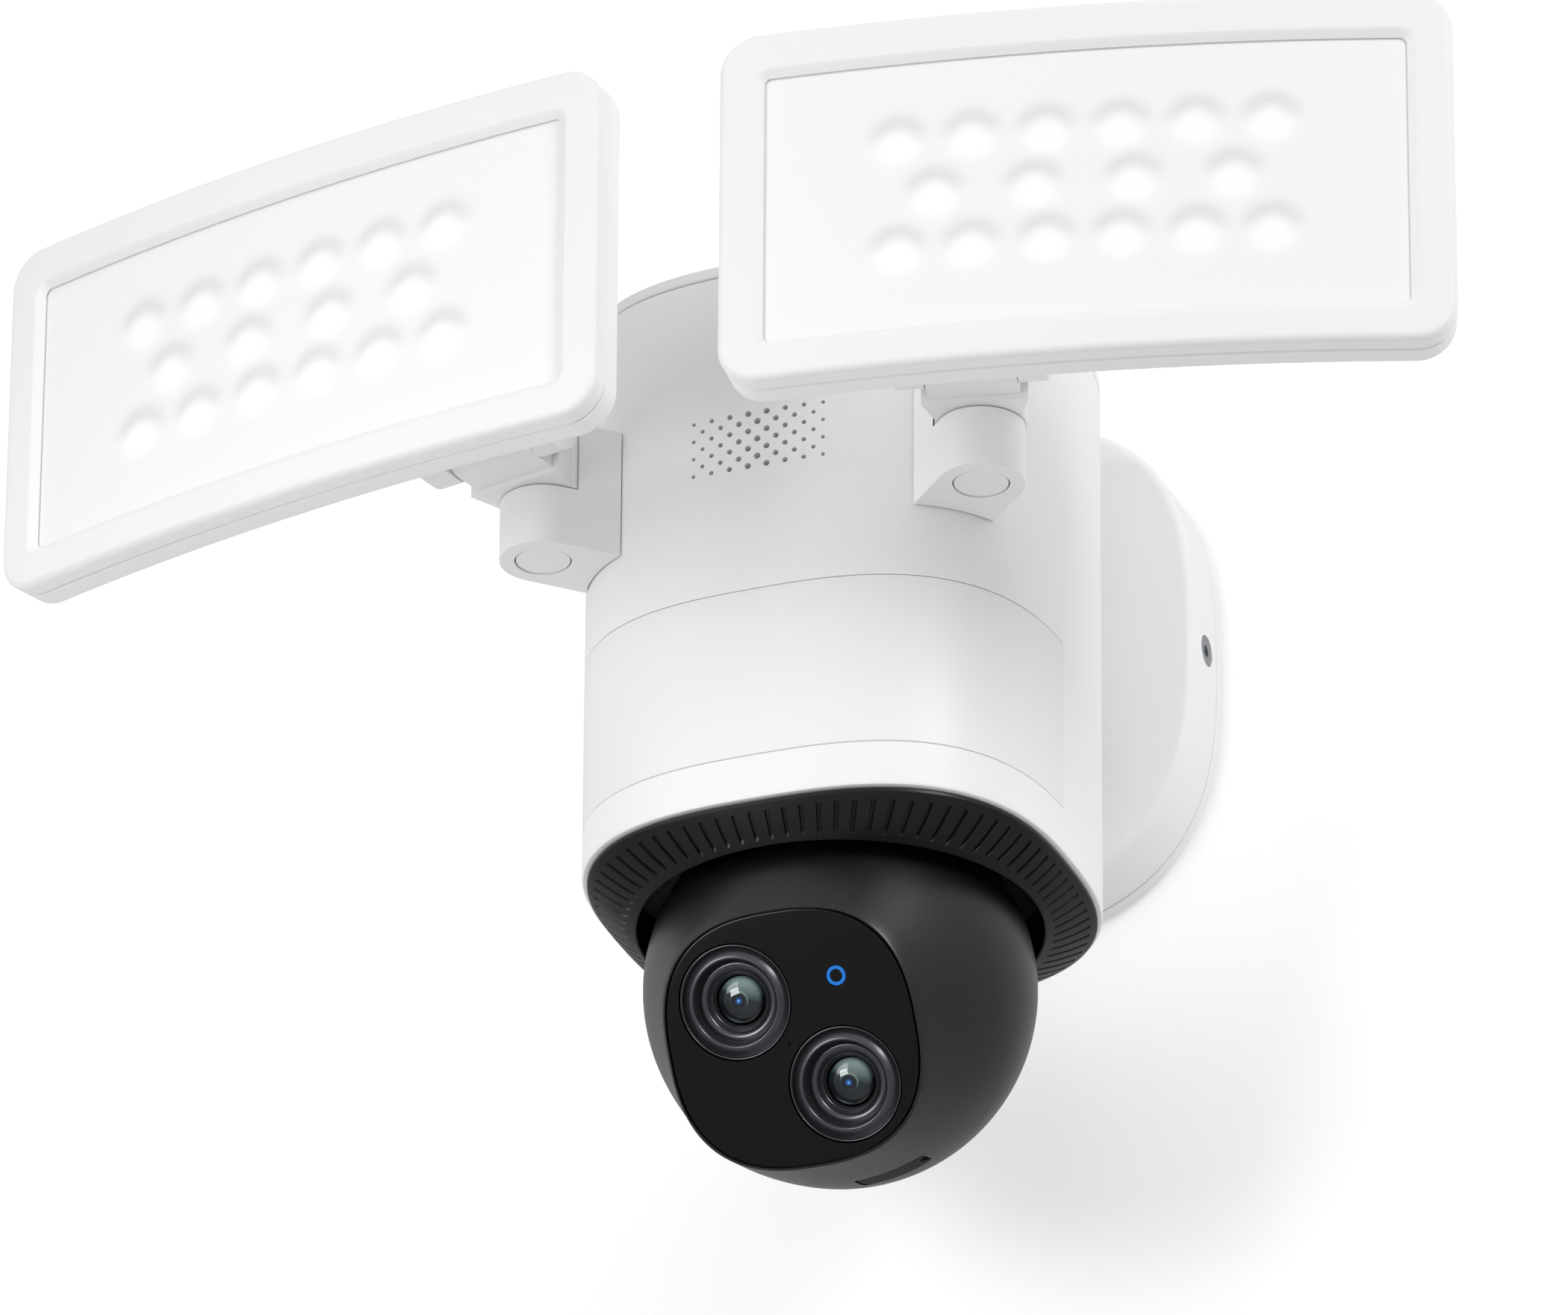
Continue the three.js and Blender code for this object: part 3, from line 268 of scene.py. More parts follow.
def skin(rings, closed=False):
    count = len(rings[0])
    points = np.vstack(rings)
    faces = []
    spans = len(rings) if closed else len(rings) - 1
    for k in range(spans):
        a, b = k * count, ((k + 1) % len(rings)) * count
        for i in range(count):
            j = (i + 1) % count
            faces.append((a + i, a + j, b + j, b + i))
    if not closed:
        faces.append(tuple(range(count - 1, -1, -1)))
        faces.append(tuple((len(rings) - 1) * count + i for i in range(count)))
    return points, faces


def makeObject(name, points, faces, place=None):
    mesh = bpy.data.meshes.new(name)
    points = np.asarray(points, float) * mm
    if place is not None:
        points = points @ np.array(place.to_3x3()).T + np.array(place.translation)
    mesh.from_pydata(points.tolist(), [], faces)
    work = bmesh.new()
    work.from_mesh(mesh)
    bmesh.ops.recalc_face_normals(work, faces=work.faces)
    work.to_mesh(mesh)
    work.free()
    made = bpy.data.objects.new(name, mesh)
    bpy.context.scene.collection.objects.link(made)
    return made


def bake(piece):
    bpy.context.view_layer.update()
    seen = piece.evaluated_get(bpy.context.evaluated_depsgraph_get())
    mesh = bpy.data.meshes.new_from_object(seen)
    piece.modifiers.clear()
    old = piece.data
    piece.data = mesh
    bpy.data.meshes.remove(old)


def combine(piece, tools, how="DIFFERENCE"):
    for tool in tools:
        step = piece.modifiers.new("step", "BOOLEAN")
        step.operation = how
        step.solver = "EXACT"
        step.object = tool
    bake(piece)
    for tool in tools:
        bpy.data.objects.remove(tool)


def soften(piece, width, segments=2):
    edge = piece.modifiers.new("edge", "BEVEL")
    edge.width = width * mm
    edge.segments = segments
    edge.limit_method = "ANGLE"
    edge.angle_limit = math.radians(50)
    edge.use_clamp_overlap = True
    bake(piece)


def finishPiece(piece, material, body, stands, sharp=32, flatten=True):
    piece.data.materials.clear()
    piece.data.materials.append(material)
    piece.data.polygons.foreach_set("use_smooth", [True] * len(piece.data.polygons))
    piece.data.set_sharp_from_angle(angle=math.radians(sharp))
    if flatten:
        even = piece.modifiers.new("even", "WEIGHTED_NORMAL")
        even.keep_sharp = True
        even.weight = 50
    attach(piece, body)
    if stands:
        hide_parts(*stands)


def prism(plan, z0, z1):
    return skin([flatRing(plan, z0), flatRing(plan, z1)])


def alongX(plan, x0, x1):
    return skin([np.c_[np.full(len(plan), x), plan] for x in (x0, x1)])


def rod(axis, radius, start, end, across=(0, 0), sides=64):
    plan = circle(radius, sides)
    rings = []
    for along in (start, end):
        ring = np.zeros((sides, 3))
        order = {"x": (1, 2, 0), "y": (0, 2, 1), "z": (0, 1, 2)}[axis]
        ring[:, order[0]] = plan[:, 0] + across[0]
        ring[:, order[1]] = plan[:, 1] + across[1]
        ring[:, order[2]] = along
        rings.append(ring)
    return skin(rings)


def upright(plan, y):
    return np.c_[plan[:, 0], np.full(len(plan), y), plan[:, 1]]


def quarterTurn(count):
    return [math.pi / 2 * step / (count - 1) for step in range(count)]


# body: shell, cap, sensor window, grille

body = {
    "half": 54.0, "exponent": 2.743, "centreY": -78.67, "wall": 3.0,
    "top": 49.8, "bottom": -84.1, "capThickness": 3.0, "capEdge": 0.9, "seam": 0.3, "windowGap": 0.14,
    "windowLow": -73.7, "windowHigh": -32.8, "windowDepth": 1.5, "windowReach": 6.7,
    "windowEdge": 0.18, "windowSides": 150,
    "grilleZ": 4.3, "columns": 15, "pitchX": 2.17, "pitchZ": 4.33, "holeMid": 0.78, "holeEdge": 0.45,
    "sides": 208,
}


def bodyRings(profile):
    centre = np.array([0, body["centreY"]])
    return [flatRing(squircle(body["half"] - inset, body["half"] - inset, body["exponent"],
                              body["sides"]) + centre, z)
            for inset, z in profile]


# the body's outline with the running gap round it, for trimming what meets the body
def bodyTool():
    return makeObject("bodyTool", *skin(bodyRings([(-body["seam"], -60), (-body["seam"], 60)])))


def windowArc(section, shrink):
    # the section's (inset, z) points go round the body's front, from one end of the window to the other
    reach = (body["windowReach"] + shrink) / body["half"]
    first = math.asin(reach ** (body["exponent"] / 2))
    power = 2 / body["exponent"]
    rings = []
    for a in np.linspace(-first, -math.pi + first, body["windowSides"]):
        c, s = math.cos(a), math.sin(a)
        x, y = math.copysign(abs(c) ** power, c), math.copysign(abs(s) ** power, s)
        rings.append(np.array([(x * (body["half"] - inset), y * (body["half"] - inset) + body["centreY"], z)
                               for inset, z in section]))
    return skin(rings)


def grilleTool():
    points, faces = [], []
    middle = (body["columns"] - 1) / 2
    front = body["centreY"] - body["half"]
    for column in range(body["columns"]):
        rows = 4 if column % 2 == 0 else 3
        away = abs(column - middle) / middle
        radius = body["holeMid"] + (body["holeEdge"] - body["holeMid"]) * away
        for row in range(rows):
            across = (column - middle) * body["pitchX"]
            up = body["grilleZ"] + (row - (rows - 1) / 2) * body["pitchZ"]
            holePoints, holeFaces = rod("y", radius, front - 1, front + body["wall"] + 1, (across, up), 20)
            start = sum(len(p) for p in points)
            points.append(holePoints)
            faces += [tuple(start + i for i in f) for f in holeFaces]
    return makeObject("grilleTool", np.vstack(points), faces)


def makeBody():
    top = body["top"] - body["capThickness"] - body["seam"]
    low = body["bottom"]
    profile = [(0.7, low), (0.25, low + 0.12), (0.0, low + 0.6), (0.0, top - 0.3), (0.1, top - 0.08),
               (0.35, top),
               (body["wall"], top), (body["wall"], low)]
    shell = makeObject("bodyShell", *skin(bodyRings(profile), closed=True))
    z0, z1, gap, depth = body["windowLow"], body["windowHigh"], body["windowGap"], body["windowDepth"]
    combine(shell, [makeObject("recessTool",
                               *windowArc([(-2, z0), (-2, z1), (depth + gap, z1), (depth + gap, z0)], 0))])
    soften(shell, body["windowEdge"])
    combine(shell, [grilleTool()])
    finishPiece(shell, mouldedAsa, "root", ["body_shell"])

    capLow = body["top"] - body["capThickness"]
    edge = body["capEdge"]
    capProfile = [(3.4, capLow - 4), (3.4, capLow), (0.3, capLow), (0.0, capLow + 0.3)]
    for a in quarterTurn(5):
        capProfile.append((edge * (1 - math.cos(a)), body["top"] - edge + edge * math.sin(a)))
    capProfile += [(6, body["top"]), (30, body["top"])]
    cap = makeObject("topCap", *skin(bodyRings(capProfile)))
    finishPiece(cap, mouldedAsa, "root", ["top_cap"])

    z0, z1, rim = z0 + gap, z1 - gap, 0.15
    section = [(rim, z0), (0.0, z0 + rim), (0.0, z1 - rim), (rim, z1), (depth, z1), (depth, z0)]
    window = makeObject("sensorWindow", *windowArc(section, gap))
    finishPiece(window, windowPolythene, "root", ["sensor_window"])


makeBody()
print("body built")


# hood ring with its radial grooves

hood = {
    "outerInset": 1.13, "top": -84.4, "edge": 1.2, "lipRadius": 44.7, "lipZ": -92.2, "lipHeight": 1.5,
    "spigotHalf": 50.7, "spigotTop": -78.4, "axisY": -80.0,
    "grooves": 84, "grooveHalf": 0.0105, "grooveDepth": 0.75, "grooveStart": 0.13, "grooveEnd": 0.83,
}


def makeHood():
    pitch = 2 * math.pi / hood["grooves"]
    h = hood["grooveHalf"]
    steps = [(-h, 0.0), (-0.55 * h, 1.0), (0.55 * h, 1.0), (h, 0.0), (h + (pitch / 2 - h) * 0.35, 0.0),
             (pitch / 2, 0.0), (pitch - h - (pitch / 2 - h) * 0.35, 0.0)]
    angles, sunk = [], []
    for k in range(hood["grooves"]):
        for turn, depth in steps:
            angles.append((k + 0.5) * pitch + turn)
            sunk.append(depth)
    angles, sunk = np.array(angles), np.array(sunk)
    c, s = np.cos(angles), np.sin(angles)
    n = body["exponent"]

    def outer(half):
        radius = half / (np.abs(c) ** n + np.abs(s) ** n) ** (1 / n)
        return np.c_[radius * c, radius * s + body["centreY"]]

    def inner(radius):
        return np.c_[radius * c, radius * s + hood["axisY"]]

    top, half = hood["top"], body["half"] - hood["outerInset"]
    rings = [flatRing(outer(half - 0.15), top), flatRing(outer(half), top - 0.2)]
    rings.append(flatRing(outer(half), top - hood["edge"] + 0.35))
    rim, lip = outer(half - 0.25), inner(hood["lipRadius"] + 0.5)
    z0, z1 = top - hood["edge"], hood["lipZ"]
    for t in (0, 0.05, hood["grooveStart"] - 0.015, hood["grooveStart"] + 0.03, 0.3, 0.48, 0.66,
              hood["grooveEnd"] - 0.03, hood["grooveEnd"] + 0.015, 0.9, 0.95, 1.0):
        bulge = 0.5 * math.sin(math.pi * t)
        inGroove = hood["grooveStart"] < t < hood["grooveEnd"]
        z = z0 + (z1 - z0) * t - bulge + (sunk * hood["grooveDepth"] if inGroove else 0)
        rings.append(np.c_[rim + (lip - rim) * t, np.broadcast_to(z, len(rim))])
    rings.append(flatRing(inner(hood["lipRadius"] + 0.12), z1 + 0.12))
    rings.append(flatRing(inner(hood["lipRadius"]), z1 + 0.5))
    rings.append(flatRing(inner(hood["lipRadius"]), z1 + hood["lipHeight"]))
    rings.append(flatRing(inner(hood["lipRadius"] + 1.6), hood["spigotTop"]))
    rings.append(flatRing(outer(hood["spigotHalf"]), hood["spigotTop"]))
    rings.append(flatRing(outer(hood["spigotHalf"]), top))
    ring = makeObject("hoodRing", *skin(rings, closed=True))
    finishPiece(ring, grainedAbs, "root", ["hood_ring"], sharp=28, flatten=False)


makeHood()
print("hood built")


# wall canopy, its rear ring and the neck to the body

canopy = {
    "half": 61.8, "exponent": 2.87, "face": -21.3, "wall": 2.4, "fillet": 2.0, "back": -4.9,
    "ringBack": -1.8, "ringFront": -4.6, "ringWidth": 6.0, "screwY": -11.5, "screwHole": 3.7,
    "opening": 14.5, "neckRadius": 30.0, "neckBore": 11.0, "neckStart": -38.2, "neckEnd": -21.6, "sides": 224,
}


def canopyRings(profile):
    rings = []
    for inset, y in profile:
        plan = squircle(canopy["half"] - inset, canopy["half"] - inset, canopy["exponent"], canopy["sides"])
        rings.append(upright(plan, y))
    return rings


def makeCanopy():
    face, back, fillet, wall = canopy["face"], canopy["back"], canopy["fillet"], canopy["wall"]
    profile = [(wall, back), (0.35, back), (0.1, back - 0.08), (0.0, back - 0.35)]
    for a in quarterTurn(7):
        profile.append((fillet * (1 - math.cos(a)), face + fillet - fillet * math.sin(a)))
    opening = canopy["half"] - canopy["opening"]
    profile += [(5, face), (30, face), (opening, face), (opening, face + wall), (30, face + wall),
                (wall, face + wall)]
    dish = makeObject("baseCanopy", *skin(canopyRings(profile), closed=True))
    reach = canopy["half"] + 2
    holes = makeObject("screwTool", *rod("x", canopy["screwHole"], -reach, reach, (canopy["screwY"], 0), 48))
    combine(dish, [holes])
    finishPiece(dish, mouldedAsa, "root", ["base_canopy"])

    y0, y1, w = canopy["ringBack"], canopy["ringFront"], canopy["ringWidth"]
    ringProfile = [(0.3, y0), (0.0, y0 - 0.3), (0.0, y1 + 0.35), (0.1, y1 + 0.08), (0.35, y1), (w, y1),
                   (w, y0)]
    rear = makeObject("canopyRearRing", *skin(canopyRings(ringProfile), closed=True))
    finishPiece(rear, mouldedAsa, "root", ["canopy_rear_ring"])

    y0, y1 = canopy["neckStart"], canopy["neckEnd"]
    neck = makeObject("wallNeck", *rod("y", canopy["neckRadius"], y0, y1, sides=160))
    bore = makeObject("neckTool", *rod("y", canopy["neckBore"], y0 - 1, y1 + 1, sides=48))
    combine(neck, [bore, bodyTool()])
    finishPiece(neck, mouldedAsa, "root", ["wall_neck"])


makeCanopy()
print("canopy built")


# ball camera, built facing -Y about its own centre, then tipped down

ball = {
    "radius": 43.2, "wall": 2.4, "axisY": -80.0, "centreZ": -106.6, "tilt": 32.0, "split": 15.0,
    "plateW": 28.0, "plateH": 27.6, "exponent": 2.6, "depth": 37.7, "shift": -5.45, "rim": 0.9,
    "plateThickness": 1.4, "around": 192, "slotHalf": 32.2, "slotFrom": 32.6, "slotTo": 117.4,
}
headPlace = Matrix.Translation((0, ball["axisY"] * mm, ball["centreZ"] * mm)) @ Matrix.Rotation(
    math.radians(ball["tilt"]), 4, "X")


def rimRadius(grow, turns):
    # how far the face's outline is from the ball's own axis, in each direction
    outline = squircle(ball["plateW"] + grow, ball["plateH"] + grow, ball["exponent"], 4000)
    outline = outline + np.array([0, ball["shift"]])
    angle = np.arctan2(outline[:, 1], outline[:, 0])
    order = np.argsort(angle)
    return np.interp(turns, angle[order], np.hypot(*outline.T)[order], period=2 * math.pi)


def cheek(turns, count=14):
    # the curves from the rim back onto the sphere, one per direction: (radius, y) for each step
    r0 = rimRadius(ball["rim"], turns)
    y0 = -ball["depth"]
    away = np.hypot(r0, y0)
    first = np.arctan2(r0, -y0)
    touch = first + np.arccos(np.minimum(1, ball["radius"] / away))
    land = touch + math.radians(7)
    startPoint = np.c_[r0, np.full_like(r0, y0)]
    touchPoint = ball["radius"] * np.c_[np.sin(touch), -np.cos(touch)]
    landPoint = ball["radius"] * np.c_[np.sin(land), -np.cos(land)]
    landWay = np.c_[np.cos(land), np.sin(land)]
    startWay = touchPoint - startPoint
    startWay /= np.maximum(1e-6, np.linalg.norm(startWay, axis=1))[:, None]
    span = np.linalg.norm(landPoint - startPoint, axis=1)[:, None]
    c1, c2 = startPoint + startWay * span * 0.36, landPoint - landWay * span * 0.30
    steps = []
    for t in np.linspace(0, 1, count):
        near, far = (1 - t) * startPoint + 3 * t * c1, 3 * (1 - t) * c2 + t * landPoint
        steps.append((1 - t) ** 2 * near + t * t * far)
    return steps, land


def skinRadius(turn, below):
    # how far the ball's outer skin is from its centre, by direction round the axis and angle from the face
    steps, land = cheek(np.array([turn]))
    if below >= land[0]:
        return ball["radius"]
    angles = [math.atan2(s[0][0], -s[0][1]) for s in steps]
    return np.interp(below, angles, [np.hypot(*s[0]) for s in steps])


def ballRing(turns, radius, y):
    radius = np.broadcast_to(radius, len(turns))
    return np.c_[radius * np.cos(turns), np.broadcast_to(y, len(turns)), radius * np.sin(turns)]


def slotTool():
    # room for the yoke's arms, open at the top of the ball
    plan = [(0.0, 0.0)] + [(70 * math.cos(math.radians(a)), 70 * math.sin(math.radians(a)))
                           for a in np.linspace(ball["slotFrom"], ball["slotTo"], 13)]
    place = headPlace @ Matrix.Rotation(math.radians(-ball["tilt"]), 4, "X")
    return makeObject("slotTool", *alongX(np.array(plan), -ball["slotHalf"], ball["slotHalf"]), place)


flap = {
    "below": 70.5, "aside": 12.5, "halfL": 7.8, "halfW": 3.6, "exponent": 6, "thickness": 1.4, "gap": 0.3,
    "relief": 0.75, "notch": 1.6, "taper": 0.92,
}
flapTurn = (Matrix.Rotation(math.radians(flap["below"]), 4, "X")
            @ Matrix.Rotation(math.radians(flap["aside"]), 4, "Z"))


def flapBlock(name, grow, inner, outer, taper=1.0):
    # a plug that follows the ball's skin, between two depths under it
    turnOut = flapTurn.to_3x3()
    plan = squircle(flap["halfL"] + grow, flap["halfW"] + grow, flap["exponent"], 96)
    layers = []
    for depth, shares in ((outer, np.linspace(0.02, 1, 9)), (inner, np.linspace(1, 0.02, 9) * taper)):
        for share in shares:
            ring = []
            for x, z in plan * share:
                way = turnOut @ Vector((x, -math.sqrt(ball["radius"] ** 2 - x * x - z * z), z)).normalized()
                radius = skinRadius(math.atan2(way.z, way.x), math.acos(max(-1, min(1, -way.y))))
                ring.append(tuple(way * (radius + depth)))
            layers.append(np.array(ring))
    return makeObject(name, *skin(layers), headPlace)


def makeBall():
    turns = np.linspace(0, 2 * math.pi, ball["around"], endpoint=False)
    face, radius = -ball["depth"], ball["radius"]
    inner = radius - ball["wall"]
    steps, land = cheek(turns)
    steps[0] = steps[0] + np.array([0.0, 0.22])
    seat, lip = rimRadius(0.3, turns), rimRadius(ball["rim"], turns) - 0.25
    ledge, ledgeY = rimRadius(-1.2, turns), face + ball["plateThickness"] + 0.3
    rings = [ballRing(turns, seat, ledgeY), ballRing(turns, seat, face + 0.2),
             ballRing(turns, seat + 0.12, face),
             ballRing(turns, lip, face)]
    rings += [ballRing(turns, step[:, 0], step[:, 1]) for step in steps]
    end = math.pi / 2 + math.asin(ball["split"] / radius)
    for t in np.linspace(0, 1, 30)[1:]:
        angle = land + (end - land) * t
        rings.append(ballRing(turns, radius * np.sin(angle), -radius * np.cos(angle)))
    for angle in np.linspace(end, math.radians(52), 14):
        rings.append(ballRing(turns, inner * math.sin(angle), -inner * math.cos(angle)))
    rings += [ballRing(turns, ledge, face + 4.0), ballRing(turns, ledge, ledgeY)]
    front = makeObject("ballFrontShell", *skin(rings, closed=True), headPlace)
    flapPlace = headPlace @ flapTurn
    pin = (-flap["halfL"], -math.sqrt(radius ** 2 - flap["halfL"] ** 2))
    reach = flap["halfW"] + flap["gap"]
    combine(front, [
        slotTool(),
        flapBlock("pocketTool", flap["gap"], -flap["thickness"] - flap["gap"], 1.5),
        makeObject("reliefTool", *rod("z", flap["relief"], -reach, reach, pin, 28), flapPlace),
    ])
    finishPiece(front, sparkErodedAbs, "ball", ["ball_front_shell"], sharp=30)

    start = math.pi / 2 + math.asin((ball["split"] + 0.3) / radius)
    back, backInner = math.radians(179), math.radians(178)
    rear = [ballRing(turns, radius * math.sin(a), -radius * math.cos(a))
            for a in np.linspace(start, back, 26)]
    rear += [ballRing(turns, inner * math.sin(a), -inner * math.cos(a))
             for a in np.linspace(backInner, start, 20)]
    rearShell = makeObject("ballRearShell", *skin(rear, closed=True), headPlace)
    combine(rearShell, [slotTool()])
    finishPiece(rearShell, sparkErodedAbs, "ball", ["ball_rear_shell"], sharp=30)

    # the plug's inner edge is drawn in, so the hinged end clears the pocket as it swings
    plug = flapBlock("serviceFlap", 0.0, -flap["thickness"], 0.0, flap["taper"])
    notch = makeObject("notchTool", *rod("y", flap["notch"], -50, -36, (flap["halfL"], 0), 32), flapPlace)
    combine(plug, [notch])
    finishPiece(plug, siliconeRubber, "flap", ["service_flap"], sharp=40)


makeBall()
print("ball built")


# face of the camera: plate, lens rings, lenses and the status light

lens = {
    "hole": 12.9, "glass": 5.2, "upper": (-11.39, 9.59), "lower": (9.89, -11.69),
    "status": (12.4, 11.8), "statusRadius": 2.15, "micHole": (-0.8, -1.2), "micRadius": 0.35,
    "holeEdge": 0.12,
    "domeEdge": 4.75, "domeHeight": 2.2, "glassBack": 8.7, "sides": 96,
    "guide": [(2.15, 3.0), (2.15, 0.1), (2.08, 0.0), (1.5, 0.0), (1.42, 0.1), (1.42, 3.0)],
    "core": [(1.36, 3.0), (1.36, 0.08), (1.28, 0.0), (0.4, 0.0)],
    "profile": [  # radius and distance behind the face, from the outer wall in to the seat of the glass
        (12.6, 9.0), (12.6, 0.35), (12.52, 0.2), (12.4, 0.15), (12.28, 0.2), (12.2, 0.4), (12.15, 1.5),
        (12.05, 1.6), (11.7, 1.3), (11.1, 0.7), (10.5, 0.15), (10.1, -0.15), (9.85, -0.25),
        (9.65, -0.15), (9.5, 0.15), (9.4, 1.0), (9.3, 2.6), (9.05, 3.0), (8.8, 2.9), (8.6, 2.6),
        (8.2, 2.45), (7.7, 2.5), (7.3, 2.7), (7.1, 3.2), (6.9, 3.75), (6.7, 3.85), (6.55, 3.6),
        (6.35, 3.5), (6.15, 3.65), (6.05, 4.1), (5.9, 4.25), (5.75, 4.15), (5.6, 4.3), (5.5, 5.0),
        (5.5, 9.0),
    ],
}


def onFace(key):
    return (lens[key][0], lens[key][1] + ball["shift"])


def faceTool(radius, depth, key, sides):
    face = -ball["depth"]
    return makeObject("faceTool", *rod("y", radius, face - 2, face + depth, onFace(key), sides), headPlace)


def turned(profile, key, sides):
    # (radius, distance behind the face) points, turned about the face's own normal
    at = np.array(onFace(key))
    return [upright(circle(radius, sides) + at, depth - ball["depth"]) for radius, depth in profile]


def makeLens(key):
    sides, at = lens["sides"], np.array(onFace(key))
    barrel = makeObject("lensBarrel_" + key, *skin(turned(lens["profile"], key, sides), closed=True),
                        headPlace)
    finishPiece(barrel, blackAnodised, "ball", ["lens_barrel_" + key], sharp=50, flatten=False)

    rings = turned([(lens["glass"], lens["glassBack"])], key, sides)
    paintedReflection, paintedGlint = [0.0] * sides, [0.0] * sides
    for share in np.linspace(1, 0.02, 34):
        depth = lens["domeEdge"] - lens["domeHeight"] * math.sqrt(max(0, 1 - share ** 2))
        plan = circle(lens["glass"] * share, sides)
        rings.append(upright(plan + at, depth - ball["depth"]))
        side = (plan[:, 0] * 0.45 + plan[:, 1] * 0.9) / lens["glass"]
        # painted reflection: pale towards the top, dark round the middle, with a thin light line low down and
        # a fine ring
        paintedSkyReflection = (np.clip(0.36 + 0.62 * side - 0.15 * (share > 0.93), 0, 1)
                * (1 - 0.75 * math.exp(-(share / 0.30) ** 4)))
        paintedCrescent = np.clip(-side - 0.62, 0, 1) * 2.2 * (0.78 < share < 0.95)
        paintedRing = 0.18 if abs(share - 0.38) < 0.035 else 0.0
        paintedReflection += list(np.clip(paintedSkyReflection + paintedCrescent + paintedRing, 0, 1))
        # painted glint: a bright spot at the middle, which the material makes glow
        paintedGlint += [max(0.0, 1 - share / 0.17)] * sides
    glass = makeObject("lensGlass_" + key, *skin(rings), headPlace)
    for layerName, values in (("lensPaintedReflection", paintedReflection), ("lensPaintedGlint", paintedGlint)):
        glass.data.attributes.new(layerName, "FLOAT", "POINT").data.foreach_set("value", values)
    finishPiece(glass, glassWithPaintedLight, "ball", ["lens_glass_" + key], sharp=50, flatten=False)


def makeFace():
    face = -ball["depth"]
    rings = []
    for inset, y in ((0.0, face + ball["plateThickness"]), (0.0, face + 0.3), (0.1, face + 0.08),
                     (0.32, face), (4, face)):
        outline = squircle(ball["plateW"] - inset, ball["plateH"] - inset, ball["exponent"], ball["around"])
        rings.append(upright(outline + np.array([0, ball["shift"]]), y))
    plate = makeObject("facePlate", *skin(rings), headPlace)
    combine(plate, [
        faceTool(lens["hole"], 3, "upper", lens["sides"]),
        faceTool(lens["hole"], 3, "lower", lens["sides"]),
        faceTool(lens["statusRadius"] + 0.15, 3, "status", 48),
        faceTool(lens["micRadius"], 0.9, "micHole", 20),
    ])
    soften(plate, lens["holeEdge"])
    finishPiece(plate, blackAcrylic, "ball", ["face_plate"])

    makeLens("upper")
    makeLens("lower")

    ring = makeObject("statusLight", *skin(turned(lens["guide"], "status", 64), closed=True), headPlace)
    finishPiece(ring, litLightGuide, "ball", ["status_light"], flatten=False)
    middle = makeObject("statusCore", *skin(turned(lens["core"], "status", 64)), headPlace)
    finishPiece(middle, blackAcrylic, "ball", (), flatten=False)


makeFace()
print("face built")


# lamp arms, knuckles and hinges

hinge = {
    "swivelX": 51.3465, "swivelY": -130.0165, "yaw": 13.0,
    "armReach": 40.0, "noseRadius": 9.7, "armBottom": -15.55, "armTop": 15.25, "notchFloor": -1.35,
    "notchRadius": 10.5, "plugRadius": 6.05, "plugDepth": 3.0, "spigotRadius": 4.0, "boreRadius": 4.35,
    "pinForward": 18.5, "pinZ": 6.45, "pinHole": 2.3, "earRadius": 6.6, "earInner": 10.4, "earOuter": 16.85,
    "knuckleHalf": 10.1, "knuckleRoot": 8.6, "flare": 11.8, "backY": -38.4, "plateThickness": 3.0,
    "plateRise": 18.0,
    "gap": 0.3, "armEdge": 0.55, "hingeEdge": 0.4,
}


def roundNose(radius, back, count=40):
    arc = np.linspace(-math.pi / 2, math.pi / 2, count)
    return np.vstack([[(-back, -radius)], np.c_[radius * np.cos(arc), radius * np.sin(arc)],
                      [(-back, radius)]])


def pinTool(place):
    hole = rod("x", hinge["pinHole"], -20, 20, (-hinge["pinForward"], hinge["pinZ"]), 40)
    return makeObject("pinTool", *hole, place)


def makeArm(label, place):
    low, high, floor = hinge["armBottom"], hinge["armTop"] + 2, hinge["notchFloor"]
    radius, gap = hinge["plugRadius"], hinge["gap"]
    arm = makeObject("lampArm_" + label,
                     *prism(roundNose(hinge["noseRadius"], hinge["armReach"]), low, hinge["armTop"]),
                     place)
    front = np.array([(0, -20), (30, -20), (30, 20), (0, 20)])
    combine(arm, [
        makeObject("notchTool", *rod("z", hinge["notchRadius"], floor, high, sides=96), place),
        makeObject("frontTool", *prism(front, floor, high), place),
        makeObject("plugTool", *rod("z", radius + gap, low - 1, low + hinge["plugDepth"], sides=72), place),
        makeObject("boreTool", *rod("z", hinge["boreRadius"], low + 4.5, floor + 1, sides=40), place),
        bodyTool(),
    ])
    soften(arm, hinge["armEdge"], 3)
    finishPiece(arm, mouldedAsa, "root", ["lamp_arm_" + label])

    profile = [(0.5, 2.7), (radius - 0.1, 2.7), (radius, 2.5), (radius, 0.55), (radius - 0.12, 0.3),
               (radius - 0.4, 0.22),
               (0.5, 0.22)]
    plug = makeObject("armPlug_" + label, *skin([flatRing(circle(r, 72), low + z) for r, z in profile]),
                      place)
    finishPiece(plug, mouldedAsa, "root", ["arm_plug_" + label])


